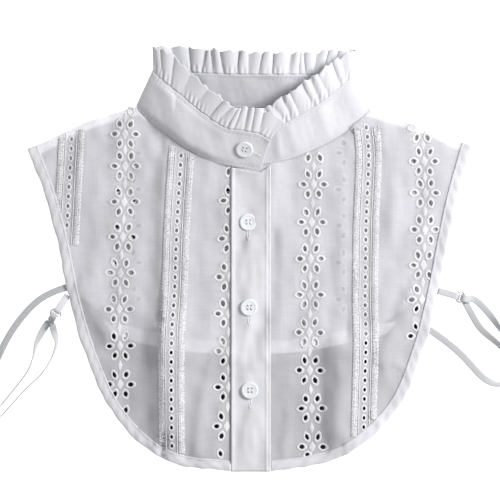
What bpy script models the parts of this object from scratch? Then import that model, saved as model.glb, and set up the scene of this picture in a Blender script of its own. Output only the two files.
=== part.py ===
"""A detachable blouse collar of sheer eyelet cotton, laid flat with its front up.

X runs to the viewer's right, Y towards the ruffle and Z up from the surface it lies on. The tables
below are in millimetres, with the origin under the middle of the collar.
"""

import math

import bmesh
import bpy
from mathutils import Matrix, Vector
from mathutils.geometry import delaunay_2d_cdt

COLLECTION = "detachable_collar"
MM = 0.001

# Cloth walls and the gaps between pieces
CLOTH = 1.0
BAND_CLOTH = 1.2
BINDING_CLOTH = 1.6
HEM_CLOTH = 1.5
GAP = 0.3
SEAM = 0.3

# Widths of the plain pieces
BINDING_WIDTH = 8.5
HEM_WIDTH = 11.0
PLACKET_LEFT = -15.6
PLACKET_RIGHT = 17.0
PLACKET_BOTTOM = -174.0
PLACKET_CLOTH = 1.2
PLACKET_ROWS = 27
PLACKET_COLUMNS = 4
NECK_INSET = 0.9
SHOULDER_INSET = 1.0
BAND_HEIGHT = 31.0
FOLD_GAP = 0.3
RUFFLE_FOLD_GAP = 0.9
UNDERLAP_LEFT = -13.0
UNDERLAP_BOTTOM = PLACKET_BOTTOM + 1.0
FRONT_LEFT_EDGE = -13.6

# How closely the pieces are divided: steps along edges, and how near a panel's inner points come
CURVE_PARTS = 16
EDGE_STEP = 7.5
PANEL_STEP = 9.0
BACK_NECK_STEP = 12.0
BESIDE_STEP = 13.0
BAND_STEP = 7.0
GRID = 17.0
GRID_FROM_EDGE = 0.5
GRID_FROM_HOLE = 0.45
GUIDE_FROM_EDGE = 2.0
GUIDE_FROM_HOLE = 4.0
CORNER_ROOM = 3.0
CORNER_DROP = 1.5

# Heights of the layers: the fronts lie over the back, then come down to the surface
FRONT_LIFT = HEM_CLOTH + 0.4
LIFT_KEEP = 2.0
LIFT_FALL = 16.0
LIFT_BENDS = (0.05, 0.55, 1.0)
STRAP_LIFT = 1.5
STRAP_LIFT_FALL = 8.0

# Side edges of the two fronts, from the shoulder tip round to the middle of the hem: x, y
SIDE_EDGE_LEFT = [
    (-182.0, 90.2), (-167.6, 51.7), (-156.4, 9.0), (-147.8, -33.6), (-135.8, -75.0),
    (-116.5, -119.5), (-89.5, -151.5), (-58.0, -168.3), (-15.0, -174.0),
]
SIDE_EDGE_RIGHT = [
    (181.7, 93.2), (170.0, 52.0), (162.4, 16.0), (153.5, -28.0), (142.2, -73.4),
    (121.5, -122.0), (84.0, -157.0), (50.0, -169.3), (16.0, -174.0),
]
# Shoulder edges, from the collar out to the tip: x, y
SHOULDER_LEFT = [(-92.7, 124.6), (-113.5, 119.4), (-131.8, 113.4), (-147.4, 106.4), (-182.0, 90.2)]
SHOULDER_RIGHT = [(97.6, 123.2), (117.7, 117.3), (143.8, 108.8), (157.5, 103.0), (181.7, 93.2)]

# The back below the arms: where its slanted sides leave the armholes, and its lower edge: x, y
BACK_SIDE_TOP_LEFT = (-145.0, -27.0)
BACK_SIDE_TOP_RIGHT = (150.0, -24.0)
BACK_LOWER_EDGE = [
    (-113.2, -60.7), (-90.2, -68.9), (-49.2, -76.2), (0.0, -78.0), (41.0, -76.2), (82.0, -68.6),
    (111.2, -62.0),
]
BACK_INSET = 1.8
BACK_TIP_ROOM = 5.0
BACK_CORNER_DROP = 0.6
# Where the placket's top meets the neck seam, right of the band's end: x, y
PLACKET_TOP_RIGHT = [(12.5, 74.0), (18.0, 77.2)]
PLACKET_TOP_STEP = 2.0

# The collar as three closed rings: the seam at the neck, the seam under the ruffle, and the
# ruffle's free edge. Each runs from the upper lap's end at the placket, round the viewer's left,
# behind the neck and back on the right to the hidden lap's end: x, y, z
NECK_SEAM = [
    (8.6, 71.8, 4.4), (-11.5, 75.2, 4.3), (-25.5, 78.0, 3.2), (-41.2, 83.8, 2.6), (-54.3, 90.4, 2.6),
    (-67.4, 100.2, 2.6), (-80.4, 110.7, 2.6), (-89.6, 119.4, 2.6),
    (-92.7, 124.6, 1.9),
    (-88.0, 126.4, 0.9), (-60.0, 124.8, 0.8), (-20.0, 123.8, 0.8), (25.0, 123.8, 0.8),
    (60.0, 124.4, 0.8), (93.0, 125.4, 0.9),
    (97.6, 122.8, 1.9),
    (94.2, 118.0, 2.6), (85.6, 110.7, 2.6), (76.4, 102.8, 2.6), (63.4, 95.2, 2.6), (50.3, 88.6, 2.6),
    (30.7, 81.4, 2.6), (16.4, 78.4, 2.4), (0.0, 76.4, 2.2), (-11.5, 75.8, 2.2),
]
NECK_FOLDS = (8, 15)
TOP_SEAM = [
    (16.3, 96.3, 18.4), (7.1, 101.5, 18.8), (-7.2, 104.1, 18.6), (-21.6, 107.0, 17.6),
    (-41.2, 120.5, 16.2), (-54.3, 131.5, 15.6), (-67.4, 142.0, 14.8), (-74.5, 148.2, 13.6),
    (-78.5, 153.1, 11.0),
    (-74.5, 154.6, 9.0), (-54.0, 152.4, 9.8), (-28.0, 150.2, 15.6), (-2.0, 149.4, 18.6),
    (24.0, 149.4, 18.4), (50.0, 150.0, 12.6), (77.5, 151.4, 9.0),
    (82.8, 148.6, 11.0),
    (79.6, 145.0, 13.6), (68.0, 135.0, 14.8), (56.8, 126.4, 15.4), (43.8, 118.5, 15.6),
    (29.4, 110.6, 15.4), (14.8, 103.3, 14.6), (4.0, 101.4, 14.0), (-5.0, 100.6, 13.8),
]
TOP_FOLDS = (8, 16)
RUFFLE_EDGE = [
    (27.5, 112.0, 22.4), (17.0, 119.5, 23.0), (2.5, 122.4, 23.0), (-13.1, 124.0, 22.4),
    (-30.1, 136.6, 21.0), (-43.1, 147.4, 20.2), (-54.6, 159.0, 19.4), (-68.0, 169.6, 18.4),
    (-78.6, 172.6, 14.4),
    (-74.0, 173.8, 10.6), (-50.3, 173.0, 11.6), (-28.0, 169.8, 18.0), (-2.0, 168.2, 21.6),
    (26.0, 167.2, 21.4), (52.0, 168.4, 14.0), (80.0, 172.0, 10.6),
    (86.0, 168.8, 14.4),
    (80.0, 167.6, 18.2), (70.5, 163.6, 19.2), (61.5, 155.6, 19.8), (50.7, 148.2, 20.2),
    (37.0, 139.0, 19.8), (24.0, 130.0, 18.4), (8.0, 121.5, 15.8), (-3.0, 118.6, 15.4),
]
RUFFLE_FOLDS = (8, 16)

# Gathers: waves along each third of the ruffle, and how far the cloth swings off its middle
WAVES = {"front_left": 12, "back": 14, "front_right": 11}
WAVE_ROOT = 0.5
WAVE_EDGE = 2.4
WAVE_COLUMNS = 5
WAVE_DRIFT = 0.8
DRIFT_TURNS = 2.3
UNEVEN = 0.2
UNEVEN_TURNS = 3.7
BAND_REACHES = (SEAM / BAND_HEIGHT, 1.0 / 3.0, 2.0 / 3.0, 1.0 - SEAM / 2.0 / BAND_HEIGHT)
RUFFLE_REACHES = (0.04, 0.5, 1.0)
# A small share of a stretch, for reading its direction
NEARBY = 0.01
# Where the ruffle lies under another layer its waves are pressed flatter: a share at each end
HIDDEN_STRETCH = {"front_left": (0.0, 0.08), "back": (0.22, 0.22), "front_right": (0.08, 0.2)}
FLATTENED = 0.25

# Eyelet flowers: middles down each column, x, y. Holes that leave a panel aren't cut.
FLOWERS_OUTER_LEFT = [
    (-102.3, 128.5), (-102.3, 102.3), (-102.3, 76.1), (-103.0, 46.7), (-104.3, 18.0), (-106.3, -11.5),
    (-107.2, -40.9), (-106.5, -71.3), (-106.5, -102.6), (-106.5, -132.8),
]
FLOWERS_INNER_LEFT = [
    (-13.3, 79.5), (-13.5, 47.8), (-14.6, 16.6), (-16.6, -14.5), (-17.5, -44.4), (-17.5, -75.4),
    (-17.5, -105.2), (-18.9, -136.9),
]
FLOWERS_INNER_RIGHT = [
    (52.1, 91.0), (51.7, 61.1), (50.3, 30.3), (49.4, 0.3), (49.0, -29.4), (48.4, -60.1),
    (48.9, -91.3), (50.3, -122.4), (50.9, -153.8),
]
FLOWERS_OUTER_RIGHT = [
    (140.5, 107.4), (142.5, 80.0), (143.2, 53.9), (142.9, 23.9), (141.9, -4.9), (140.5, -33.0),
    (139.9, -63.1),
]
BACK_FLOWER_COLUMNS = (-100.0, -9.4, 81.2)
BACK_FLOWER_TOP = 87.0
BACK_FLOWER_PITCH = 30.0
BACK_FLOWERS = 5

# One flower: each hole's middle from the flower's own, its length, its width and its lean
#   x, y, length, width, degrees from X
FLOWER_HOLES = [
    (-4.6, 8.0, 4.7, 3.1, 105.0), (4.6, 8.0, 4.7, 3.1, 75.0),
    (-4.6, -8.0, 4.7, 3.1, 75.0), (4.6, -8.0, 4.7, 3.1, 105.0),
    (-8.6, 0.0, 4.1, 3.3, 0.0), (8.6, 0.0, 4.1, 3.3, 0.0),
]
HOLE_SIDES = 6
HOLE_MARGIN = 1.2
HOLE_REACH = 8.0

# Soft creases of the fronts: a ridge or a trough from one end to the other
#   x, y, x, y, half width, height
CREASES = [
    (-74.0, 60.0, -70.0, -30.0, 9.0, 0.7),
    (-83.0, -62.0, -80.0, -130.0, 8.0, 1.5),
    (-38.0, -105.0, -44.0, -158.0, 6.0, 1.8),
    (-25.0, -120.0, -28.0, -160.0, 5.0, 1.2),
    (28.0, 50.0, 26.0, -60.0, 7.0, 0.8),
    (74.0, -70.0, 70.0, -150.0, 8.0, 1.6),
    (118.0, -10.0, 108.0, -95.0, 9.0, 1.3),
    (120.0, 90.0, 116.0, 30.0, 8.0, 0.9),
]

# Buttons: middles down the placket, then the one on the band
BUTTON_THICKNESS = 2.4
# Its turned profile, from the middle of the face out over the rim: distance out, height
BUTTON_PROFILE = [(0.0, 1.8), (4.9, 1.8), (5.5, 2.4), (6.6, 2.3), (7.0, 1.6), (6.3, 0.0), (0.0, 0.0)]
BUTTON_HOLE_RADIUS = 0.9
BUTTON_HOLE_SPACING = 1.5
BUTTON_SIDES = 14
PLACKET_BUTTONS = [(-1.6, 30.1), (-0.8, -39.6), (-0.2, -107.3)]
BAND_BUTTON_REACH = 0.53
BAND_BUTTON_ALONG = 0.155
BAND_BUTTON_SEAT = 0.1

# Rings and the webbing that runs through them
RING_RADIUS = 4.3
RING_WIRE = 0.7
RING_TILT = 40.0
RING_HEIGHT = 5.5
WEB_WIDTH = 5.6
WEB_CLOTH = 1.0
WEB_CLEAR = 0.15
WEB_OUTSIDE = RING_RADIUS + RING_WIRE + GAP + WEB_CLOTH / 2 + 0.2
TAB_CORNER_GAP = 0.5
TAB_LONGEST = 30.0
TAB_BEND = 9.0
TAB_TOP_START = 2.6
TAB_TOP_BEND = 5.0
TAB_UNDER_BEND = 0.9
WEB_INSIDE = 1.25
WEB_STEP = 5.0
WEB_CURVE_PARTS = 12
TAB_STEP = 2.5
TAB_UNDER = 2.5
WRAP_PARTS = 6
WRAP_LEAD = 2.6
STRAP_UNDER_FRONT = [(133.0, -46.5), (150.6, -60.6), (160.0, -67.0)]

# Each ring: middle x, y, and the heading from the tab to the strap in degrees from X
RING_LEFT = (-158.6, -44.4, 238.0)
RING_RIGHT = (171.6, -31.0, -16.0)

# Strap routes outside the rings: x, y, lift off the surface, then where the webbing's width
# points: its heading in degrees from X and its rise above the level
STRAP_RIGHT_END = [
    (211.0, -79.0, 0.0, 48.0, 60.0), (203.0, -69.5, 0.0, 46.0, 40.0), (189.0, -56.8, 0.0, 46.0, 12.0),
    (179.0, -40.5, 1.0, 62.0, 4.0),
]
STRAP_RIGHT_LOOP = [
    (184.5, -33.6, 2.4, 66.0, 4.0), (196.0, -45.0, 0.4, 46.0, 12.0), (206.5, -60.0, 0.0, 42.0, 60.0),
    (216.0, -73.0, 0.0, 35.0, 88.0), (221.8, -87.0, 0.0, 0.0, 90.0), (215.5, -99.5, 0.0, 0.0, 90.0),
    (203.0, -102.5, 0.0, 270.0, 50.0), (191.0, -97.0, 0.0, 235.0, 5.0), (174.0, -79.0, 0.0, 227.0, 0.0),
    (159.5, -66.6, 0.0, 232.0, 0.0), (147.0, -57.8, 0.0, 236.0, 0.0), (133.5, -48.4, 0.0, 236.0, 0.0),
]
STRAP_LEFT_END = [
    (-204.0, -120.0, 0.0, 0.0, 88.0), (-192.5, -106.0, 0.0, 0.0, 90.0), (-182.0, -92.0, 0.0, 0.0, 90.0),
    (-177.2, -79.5, 0.0, 0.0, 90.0), (-174.5, -68.5, 0.0, 150.0, 60.0), (-168.0, -56.0, 0.6, 150.0, 15.0),
]
STRAP_LEFT_LOOP = [
    (-160.5, -58.0, 2.4, 160.0, 15.0), (-158.2, -68.5, 0.3, 150.0, 70.0), (-162.5, -81.5, 0.0, 0.0, 90.0),
    (-171.0, -94.5, 0.0, 0.0, 90.0), (-184.5, -107.5, 0.0, 0.0, 90.0), (-197.5, -122.0, 0.0, 0.0, 90.0),
    (-205.0, -129.2, 0.0, 0.0, 90.0), (-214.0, -131.5, 0.0, 0.0, 90.0), (-221.4, -123.0, 0.0, 0.0, 90.0),
    (-218.5, -107.0, 0.0, 0.0, 88.0), (-209.5, -89.0, 0.0, 345.0, 45.0), (-202.0, -71.5, 0.0, 340.0, 4.0),
    (-194.0, -57.4, 0.0, 328.0, 0.0), (-182.4, -42.6, 0.0, 318.0, 0.0), (-171.6, -32.8, 0.0, 314.0, 0.0),
    (-160.0, -26.6, 0.0, 304.0, 0.0), (-148.6, -22.6, 0.0, 292.0, 0.0),
]


def material(name, colour, roughness, metallic=0.0):
    """A plain Principled material."""
    made = bpy.data.materials.new(name)
    made.use_nodes = True
    shader = made.node_tree.nodes["Principled BSDF"]
    shader.inputs["Base Color"].default_value = (*colour, 1.0)
    shader.inputs["Roughness"].default_value = roughness
    shader.inputs["Metallic"].default_value = metallic
    return made


def add_object(name, mesh, surface, collection):
    """A new object of the mesh, in the collar's collection, with its own material slot."""
    mesh.materials.clear()
    mesh.materials.append(surface)
    made = bpy.data.objects.new(name, mesh)
    collection.objects.link(made)
    return made


def thicken(made, wall, offset):
    """Give an open surface its wall: offset 1 builds it above the surface, 0 on both sides."""
    solid = made.modifiers.new("wall", "SOLIDIFY")
    solid.thickness = wall * MM
    solid.offset = offset
    solid.use_even_offset = True
    solid.use_rim = True


def catmull_rom(before, start, end, after, blend):
    """A point between start and end on the smooth curve through all four."""
    square = blend * blend
    cube = square * blend
    return 0.5 * (
        2.0 * start
        + (end - before) * blend
        + (2.0 * before - 5.0 * start + 4.0 * end - after) * square
        + (3.0 * start - before - 3.0 * end + after) * cube
    )


def smooth_curve(points, per_span=CURVE_PARTS):
    """Close samples of a smooth curve through the points, which may have any number of columns."""
    rows = [Vector(point) for point in points]
    first = 2.0 * rows[0] - rows[1]
    last = 2.0 * rows[-1] - rows[-2]
    padded = [first] + rows + [last]
    samples = []
    for index in range(1, len(padded) - 2):
        four = padded[index - 1:index + 3]
        for part in range(per_span):
            samples.append(catmull_rom(*four, part / per_span))
    samples.append(rows[-1])
    return samples


def lengths_along(samples):
    """Running length at each sample."""
    running = [0.0]
    for before, after in zip(samples, samples[1:]):
        running.append(running[-1] + (after - before).length)
    return running


def at_length(samples, running, wanted):
    """The point at a length along the samples."""
    for index in range(1, len(running)):
        if running[index] >= wanted or index == len(running) - 1:
            span = running[index] - running[index - 1]
            blend = (wanted - running[index - 1]) / span if span > 0.0 else 0.0
            return samples[index - 1].lerp(samples[index], min(max(blend, 0.0), 1.0))
    return samples[-1]


def evenly(samples, step):
    """Samples spread evenly, about one step apart, with both ends kept."""
    running = lengths_along(samples)
    count = max(1, round(running[-1] / step))
    return [at_length(samples, running, running[-1] * part / count) for part in range(count + 1)]


def curve(points, step):
    """Even samples of the smooth curve through the points."""
    return evenly(smooth_curve(points), step)


def offset_inwards(points, distance, side):
    """The line beside an open curve, on its left where side is 1 and on its right where it is -1."""
    moved = []
    for index, point in enumerate(points):
        before = points[max(index - 1, 0)]
        after = points[min(index + 1, len(points) - 1)]
        along = (after - before).normalized()
        moved.append(point + side * distance * Vector((-along.y, along.x)))
    return moved


def distance_to_line(point, line):
    """Shortest distance from a point to a polyline."""
    best = math.inf
    for start, end in zip(line, line[1:]):
        span = end - start
        square = span.length_squared
        share = 0.0 if square == 0.0 else min(max((point - start).dot(span) / square, 0.0), 1.0)
        best = min(best, (point - start - share * span).length)
    return best


def is_inside(point, outline):
    """Whether a point lies inside a closed outline."""
    inside = False
    before = outline[-1]
    for corner in outline:
        crosses = (corner.y > point.y) != (before.y > point.y)
        if crosses:
            share = (point.y - corner.y) / (before.y - corner.y)
            if point.x < corner.x + (before.x - corner.x) * share:
                inside = not inside
        before = corner
    return inside


def ease(value):
    """A smooth step from 0 to 1."""
    value = min(max(value, 0.0), 1.0)
    return value * value * (3.0 - 2.0 * value)


def ring_thirds(points, folds):
    """A collar ring as three stretches that meet at its two side folds."""
    samples = smooth_curve(points)
    first = folds[0] * CURVE_PARTS
    second = folds[1] * CURVE_PARTS
    return {
        "front_left": samples[:first + 1],
        "back": samples[first:second + 1],
        "front_right": samples[second:],
    }


class Collar:
    """The stand band and the ruffle as one bent surface."""

    def __init__(self):
        self.rings = [
            ring_thirds(NECK_SEAM, NECK_FOLDS),
            ring_thirds(TOP_SEAM, TOP_FOLDS),
            ring_thirds(RUFFLE_EDGE, RUFFLE_FOLDS),
        ]
        self.lengths = [
            {third: lengths_along(samples) for third, samples in ring.items()} for ring in self.rings
        ]

    def ring_point(self, level, third, share):
        """The point at a share of the way along one third of a ring."""
        running = self.lengths[level][third]
        return at_length(self.rings[level][third], running, running[-1] * share)

    def length(self, level, third):
        """Length of one third of a ring."""
        return self.lengths[level][third][-1]

    def band_point(self, third, share, reach):
        """On the band: reach runs from 0 at the neck seam to 1 at the ruffle seam."""
        low = self.ring_point(0, third, share)
        high = self.ring_point(1, third, share)
        return low.lerp(high, reach)

    def ruffle_point(self, third, share, reach):
        """On the ruffle: reach runs from 0 at its seam to 1 at its free edge, with the gathers."""
        low = self.ring_point(1, third, share)
        high = self.ring_point(2, third, share)
        point = low.lerp(high, reach)
        ahead = self.ring_point(1, third, min(share + NEARBY, 1.0))
        behind = self.ring_point(1, third, max(share - NEARBY, 0.0))
        across = (ahead - behind).cross(high - low).normalized()
        if across.z < 0.0:
            across = -across
        swing = WAVE_ROOT + (WAVE_EDGE - WAVE_ROOT) * reach
        return point + across * swing * gather_wave(third, share)


def gather_wave(third, share):
    """Uneven waves, -1 to 1, along one third of the ruffle. They die out at the side folds."""
    waves = WAVES[third]
    turns = math.tau * waves * share + WAVE_DRIFT * math.sin(math.tau * DRIFT_TURNS * share + waves)
    unevenness = 1.0 - UNEVEN + UNEVEN * math.sin(math.tau * UNEVEN_TURNS * share + 2.0 * waves)
    hidden = HIDDEN_STRETCH[third]
    settle = ease(share / hidden[0]) if hidden[0] else 1.0
    settle *= ease((1.0 - share) / hidden[1]) if hidden[1] else 1.0
    return math.sin(turns) * unevenness * (FLATTENED + (1.0 - FLATTENED) * settle)


def armhole_and_hem(side):
    """Even samples of one side edge, and the inner line of its binding."""
    points = SIDE_EDGE_LEFT if side == "left" else SIDE_EDGE_RIGHT
    outer = curve(points, EDGE_STEP)
    inward = 1 if side == "left" else -1
    return outer, offset_inwards(outer, BINDING_WIDTH, inward)


def neck_line(collar, third, step):
    """The neck seam of one third in plan, moved into the panel below it."""
    line = [Vector((point.x, point.y)) for point in evenly(collar.rings[0][third], step)]
    side = -1 if third == "back" else 1
    return offset_inwards(line, NECK_INSET, side)


def back_outline(collar):
    """Outline of the back above its hem, anticlockwise, with its lower edge and its hem line."""
    lower = curve(BACK_LOWER_EDGE, PANEL_STEP)
    hem_line = offset_inwards(lower, HEM_WIDTH + SEAM, 1)
    sides = {}
    for side, inward, top, tip in (
        ("left", 1, BACK_SIDE_TOP_LEFT, SHOULDER_LEFT[-1]),
        ("right", -1, BACK_SIDE_TOP_RIGHT, SHOULDER_RIGHT[-1]),
    ):
        outer, _ = armhole_and_hem(side)
        armhole = offset_inwards(outer, BACK_INSET, inward)
        armhole = [point for point in armhole if top[1] + CORNER_ROOM < point.y < tip[1] - BACK_TIP_ROOM]
        corner = Vector((tip[0] + inward * 1.5 * BACK_INSET, tip[1] - BACK_CORNER_DROP))
        sides[side] = [corner] + armhole + [Vector(top)]
    left_shoulder = offset_inwards([Vector(point) for point in SHOULDER_LEFT], SHOULDER_INSET, 1)
    right_shoulder = offset_inwards([Vector(point) for point in SHOULDER_RIGHT], SHOULDER_INSET, -1)
    neck = neck_line(collar, "back", BACK_NECK_STEP)[1:-1]
    outline = hem_line + sides["right"][::-1] + right_shoulder[1:-1][::-1]
    outline += neck[::-1] + left_shoulder[1:-1] + sides["left"]
    return outline, lower, hem_line


def front_underside(back_edge):
    """How high the underside of a front lies over any point of the plan."""
    closed = back_edge + back_edge[:1]

    def height(point):
        point = Vector((point[0], point[1]))
        lift = FRONT_LIFT
        if not is_inside(point, back_edge):
            away = distance_to_line(point, closed)
            lift *= 1.0 - ease((away - LIFT_KEEP) / LIFT_FALL)
        over_strap = distance_to_line(point, [Vector(end) for end in STRAP_UNDER_FRONT])
        lift = max(lift, STRAP_LIFT * (1.0 - ease((over_strap - WEB_WIDTH) / STRAP_LIFT_FALL)))
        for x0, y0, x1, y1, width, rise in CREASES:
            off = distance_to_line(point, [Vector((x0, y0)), Vector((x1, y1))])
            lift += rise * math.exp(-(off / width) ** 2)
        return lift

    return height


def oval(middle, length, width, lean):
    """Corners of a small oval, its long axis at an angle."""
    corners = []
    for index in range(HOLE_SIDES):
        turn = math.tau * index / HOLE_SIDES
        along = math.cos(turn) * length / 2.0
        across = math.sin(turn) * width / 2.0
        corners.append(middle + Vector((
            along * math.cos(lean) - across * math.sin(lean),
            along * math.sin(lean) + across * math.cos(lean),
        )))
    return corners


def flower_holes(middles, outline):
    """The holes of a column of flowers that lie clear inside a panel."""
    holes = []
    closed = outline + outline[:1]
    for x, y in middles:
        for hole_x, hole_y, length, width, lean in FLOWER_HOLES:
            middle = Vector((x + hole_x, y + hole_y))
            clear = length / 2.0 + HOLE_MARGIN
            if is_inside(middle, outline) and distance_to_line(middle, closed) > clear:
                holes.append(oval(middle, length, width, math.radians(lean)))
    return holes


def grid_points(outline, hole_middles, spacing, guides):
    """Inner points of a panel, in staggered rows, clear of its outline, its holes and the guides."""
    xs = [point.x for point in outline]
    ys = [point.y for point in outline]
    closed = outline + outline[:1]
    kept = []
    for point in guides:
        near_hole = any((point - middle).length < GUIDE_FROM_HOLE for middle in hole_middles)
        near_edge = distance_to_line(point, closed) <= GUIDE_FROM_EDGE
        if is_inside(point, outline) and not near_edge and not near_hole:
            kept.append(point)
    guided = list(kept)
    for row in range(1, int((max(ys) - min(ys)) / spacing) + 1):
        shift = 0.5 * (row % 2)
        for column in range(int((max(xs) - min(xs)) / spacing) + 1):
            point = Vector((min(xs) + (column + shift) * spacing, min(ys) + row * spacing))
            if not is_inside(point, outline) or distance_to_line(point, closed) < GRID_FROM_EDGE * spacing:
                continue
            if any((point - near).length < GRID_FROM_HOLE * spacing for near in hole_middles + guided):
                continue
            kept.append(point)
    return kept


def finish_sheet(name, mesh, wall, offset, surface, collection):
    """Turn a bmesh surface face up, make it an object and give it its wall."""
    mesh.normal_update()
    if sum(face.normal.z for face in mesh.faces) < 0.0:
        bmesh.ops.reverse_faces(mesh, faces=mesh.faces)
    data = bpy.data.meshes.new(name)
    mesh.to_mesh(data)
    mesh.free()
    sheet = add_object(name, data, surface, collection)
    thicken(sheet, wall, offset)
    return sheet


def cloth_panel(name, outline, holes, underside, spacing, guides, surface, collection):
    """A panel of cloth: an outline with holes, given height by its underside, then its wall."""
    points = []
    edges = []
    for loop in [outline] + holes:
        first = len(points)
        points.extend(loop)
        edges.extend((first + index, first + (index + 1) % len(loop)) for index in range(len(loop)))
    hole_middles = [sum(hole, Vector((0.0, 0.0))) / len(hole) for hole in holes]
    if spacing:
        points.extend(grid_points(outline, hole_middles, spacing, guides))
    corners, _, faces, _, _, _ = delaunay_2d_cdt(points, edges, [], 1, 0.0001)
    mesh = bmesh.new()
    verts = [mesh.verts.new((point.x * MM, point.y * MM, underside(point) * MM)) for point in corners]
    for face in faces:
        middle = sum((corners[index] for index in face), Vector((0.0, 0.0))) / len(face)
        in_hole = any(is_inside(middle, hole) for hole in holes if (hole[0] - middle).length < HOLE_REACH)
        if not in_hole and is_inside(middle, outline):
            mesh.faces.new([verts[index] for index in face])
    loose = [vert for vert in mesh.verts if not vert.link_faces]
    bmesh.ops.delete(mesh, geom=loose, context="VERTS")
    bmesh.ops.recalc_face_normals(mesh, faces=mesh.faces)
    return finish_sheet(name, mesh, CLOTH, 1.0, surface, collection)


def sheet_between(name, rows, wall, offset, surface, collection):
    """A sheet of cloth through rows of points, each row as long as the next."""
    mesh = bmesh.new()
    made = [[mesh.verts.new(tuple(value * MM for value in point)) for point in row] for row in rows]
    for low, high in zip(made, made[1:]):
        for index in range(len(low) - 1):
            mesh.faces.new((low[index], low[index + 1], high[index + 1], high[index]))
    return finish_sheet(name, mesh, wall, offset, surface, collection)


def placket_levels(collar):
    """The rows of the placket, from just under the neck seam to the hem."""
    top = placket_top(collar, 0.5)
    return [top + (PLACKET_BOTTOM - top) * row / PLACKET_ROWS for row in range(PLACKET_ROWS + 1)]


def front_outline(collar, side):
    """Outline of one front inside its binding, anticlockwise."""
    _, inner = armhole_and_hem(side)
    inner = offset_inwards(inner, SEAM, 1 if side == "left" else -1)
    shoulder = SHOULDER_LEFT if side == "left" else SHOULDER_RIGHT
    shoulder_line = [Vector(point) for point in shoulder[1:-1]]
    levels = placket_levels(collar)[::-1]
    from_fold = neck_line(collar, f"front_{side}", PANEL_STEP)
    if side == "left":
        from_fold = from_fold[::-1]
        neck = [point for point in from_fold if point.x < FRONT_LEFT_EDGE - CORNER_ROOM]
        edge = [point for point in inner if point.x < FRONT_LEFT_EDGE - CORNER_ROOM]
        middle_edge = FRONT_LEFT_EDGE
        bottom = edge[-1].y
        corner = []
    else:
        neck = [point for point in from_fold if point.x > UNDERLAP_LEFT + CORNER_ROOM]
        edge = [point for point in inner if point.x > PLACKET_RIGHT + CORNER_ROOM]
        middle_edge = UNDERLAP_LEFT
        bottom = UNDERLAP_BOTTOM
        notch = PLACKET_RIGHT - SEAM
        corner = [Vector((notch, edge[-1].y)), Vector((notch, bottom))]
    top = neck[-1].y - CORNER_DROP
    between = [y for y in levels if bottom + CORNER_ROOM < y < top - CORNER_ROOM]
    corner += [Vector((middle_edge, y)) for y in [bottom] + between + [top]]
    outline = edge + corner + neck[::-1] + shoulder_line
    return outline if side == "left" else outline[::-1]


def front_guides(collar, side, back_edge):
    """Points that a front must bend at: just outside the back's edge, and under the placket."""
    beside = evenly(back_edge, BESIDE_STEP)
    guides = []
    for share in LIFT_BENDS:
        guides += offset_inwards(beside, LIFT_KEEP + LIFT_FALL * share, -1)
    if side == "right":
        for column in range(1, PLACKET_COLUMNS):
            x = PLACKET_LEFT + (PLACKET_RIGHT - PLACKET_LEFT) * column / PLACKET_COLUMNS
            guides += [Vector((x, y)) for y in placket_levels(collar)[1:-1]]
    return guides


def build_fronts(collar, underside, back_edge, surface, collection):
    """Both fronts with their cutwork."""
    columns = {
        "left": FLOWERS_OUTER_LEFT + FLOWERS_INNER_LEFT,
        "right": FLOWERS_INNER_RIGHT + FLOWERS_OUTER_RIGHT,
    }
    for side, middles in columns.items():
        outline = front_outline(collar, side)
        holes = flower_holes(middles, outline)
        guides = front_guides(collar, side, back_edge)
        cloth_panel(f"front_{side}", outline, holes, underside, GRID, guides, surface, collection)


def build_back(outline, lower, hem_line, surface, collection):
    """The back with its cutwork, flat on the surface, and its doubled hem."""
    holes = []
    for column in BACK_FLOWER_COLUMNS:
        middles = [(column, BACK_FLOWER_TOP - BACK_FLOWER_PITCH * row) for row in range(BACK_FLOWERS)]
        holes += flower_holes(middles, outline)
    cloth_panel("back", outline, holes, lambda point: 0.0, 0.0, [], surface, collection)
    rows = []
    for share in (0.0, 1.0 - SEAM / HEM_WIDTH):
        rows.append([(*low.lerp(high, share), 0.0) for low, high in zip(lower, hem_line)])
    sheet_between("back_hem", rows, HEM_CLOTH, 1.0, surface, collection)


def build_binding(side, underside, surface, collection):
    """The plain strip along one armhole edge and half of the hem."""
    outer, inner = armhole_and_hem(side)
    stop = PLACKET_LEFT - SEAM if side == "left" else PLACKET_RIGHT + SEAM
    kept = [pair for pair in zip(outer, inner) if abs(pair[0].x) > abs(stop) + CORNER_ROOM]
    kept.append((Vector((stop, kept[-1][0].y)), Vector((stop, kept[-1][1].y))))
    rows = []
    for share in (0.0, 0.5, 1.0):
        points = [out.lerp(into, share) for out, into in kept]
        rows.append([(point.x, point.y, underside(point)) for point in points])
    sheet_between(f"binding_{side}", rows, BINDING_CLOTH, 1.0, surface, collection)


def placket_top(collar, share):
    """The placket's upper end, along the neck seam."""
    x = PLACKET_LEFT + (PLACKET_RIGHT - PLACKET_LEFT) * share
    line = sorted(neck_line(collar, "front_left", PLACKET_TOP_STEP), key=lambda point: point.x)
    line += [Vector(point) for point in PLACKET_TOP_RIGHT]
    for before, after in zip(line, line[1:]):
        if before.x <= x <= after.x:
            return before.y + (after.y - before.y) * (x - before.x) / (after.x - before.x)
    return line[-1].y


def build_placket(collar, underside, surface, collection):
    """The plain strip that laps over the button stand."""
    rows = []
    for row, level in enumerate(placket_levels(collar)):
        points = []
        for column in range(PLACKET_COLUMNS + 1):
            share = column / PLACKET_COLUMNS
            x = PLACKET_LEFT + (PLACKET_RIGHT - PLACKET_LEFT) * share
            y = level if row else placket_top(collar, share)
            points.append((x, y, underside((x, y)) + CLOTH + GAP))
        rows.append(points)
    sheet_between("placket", rows, PLACKET_CLOTH, 1.0, surface, collection)


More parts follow.
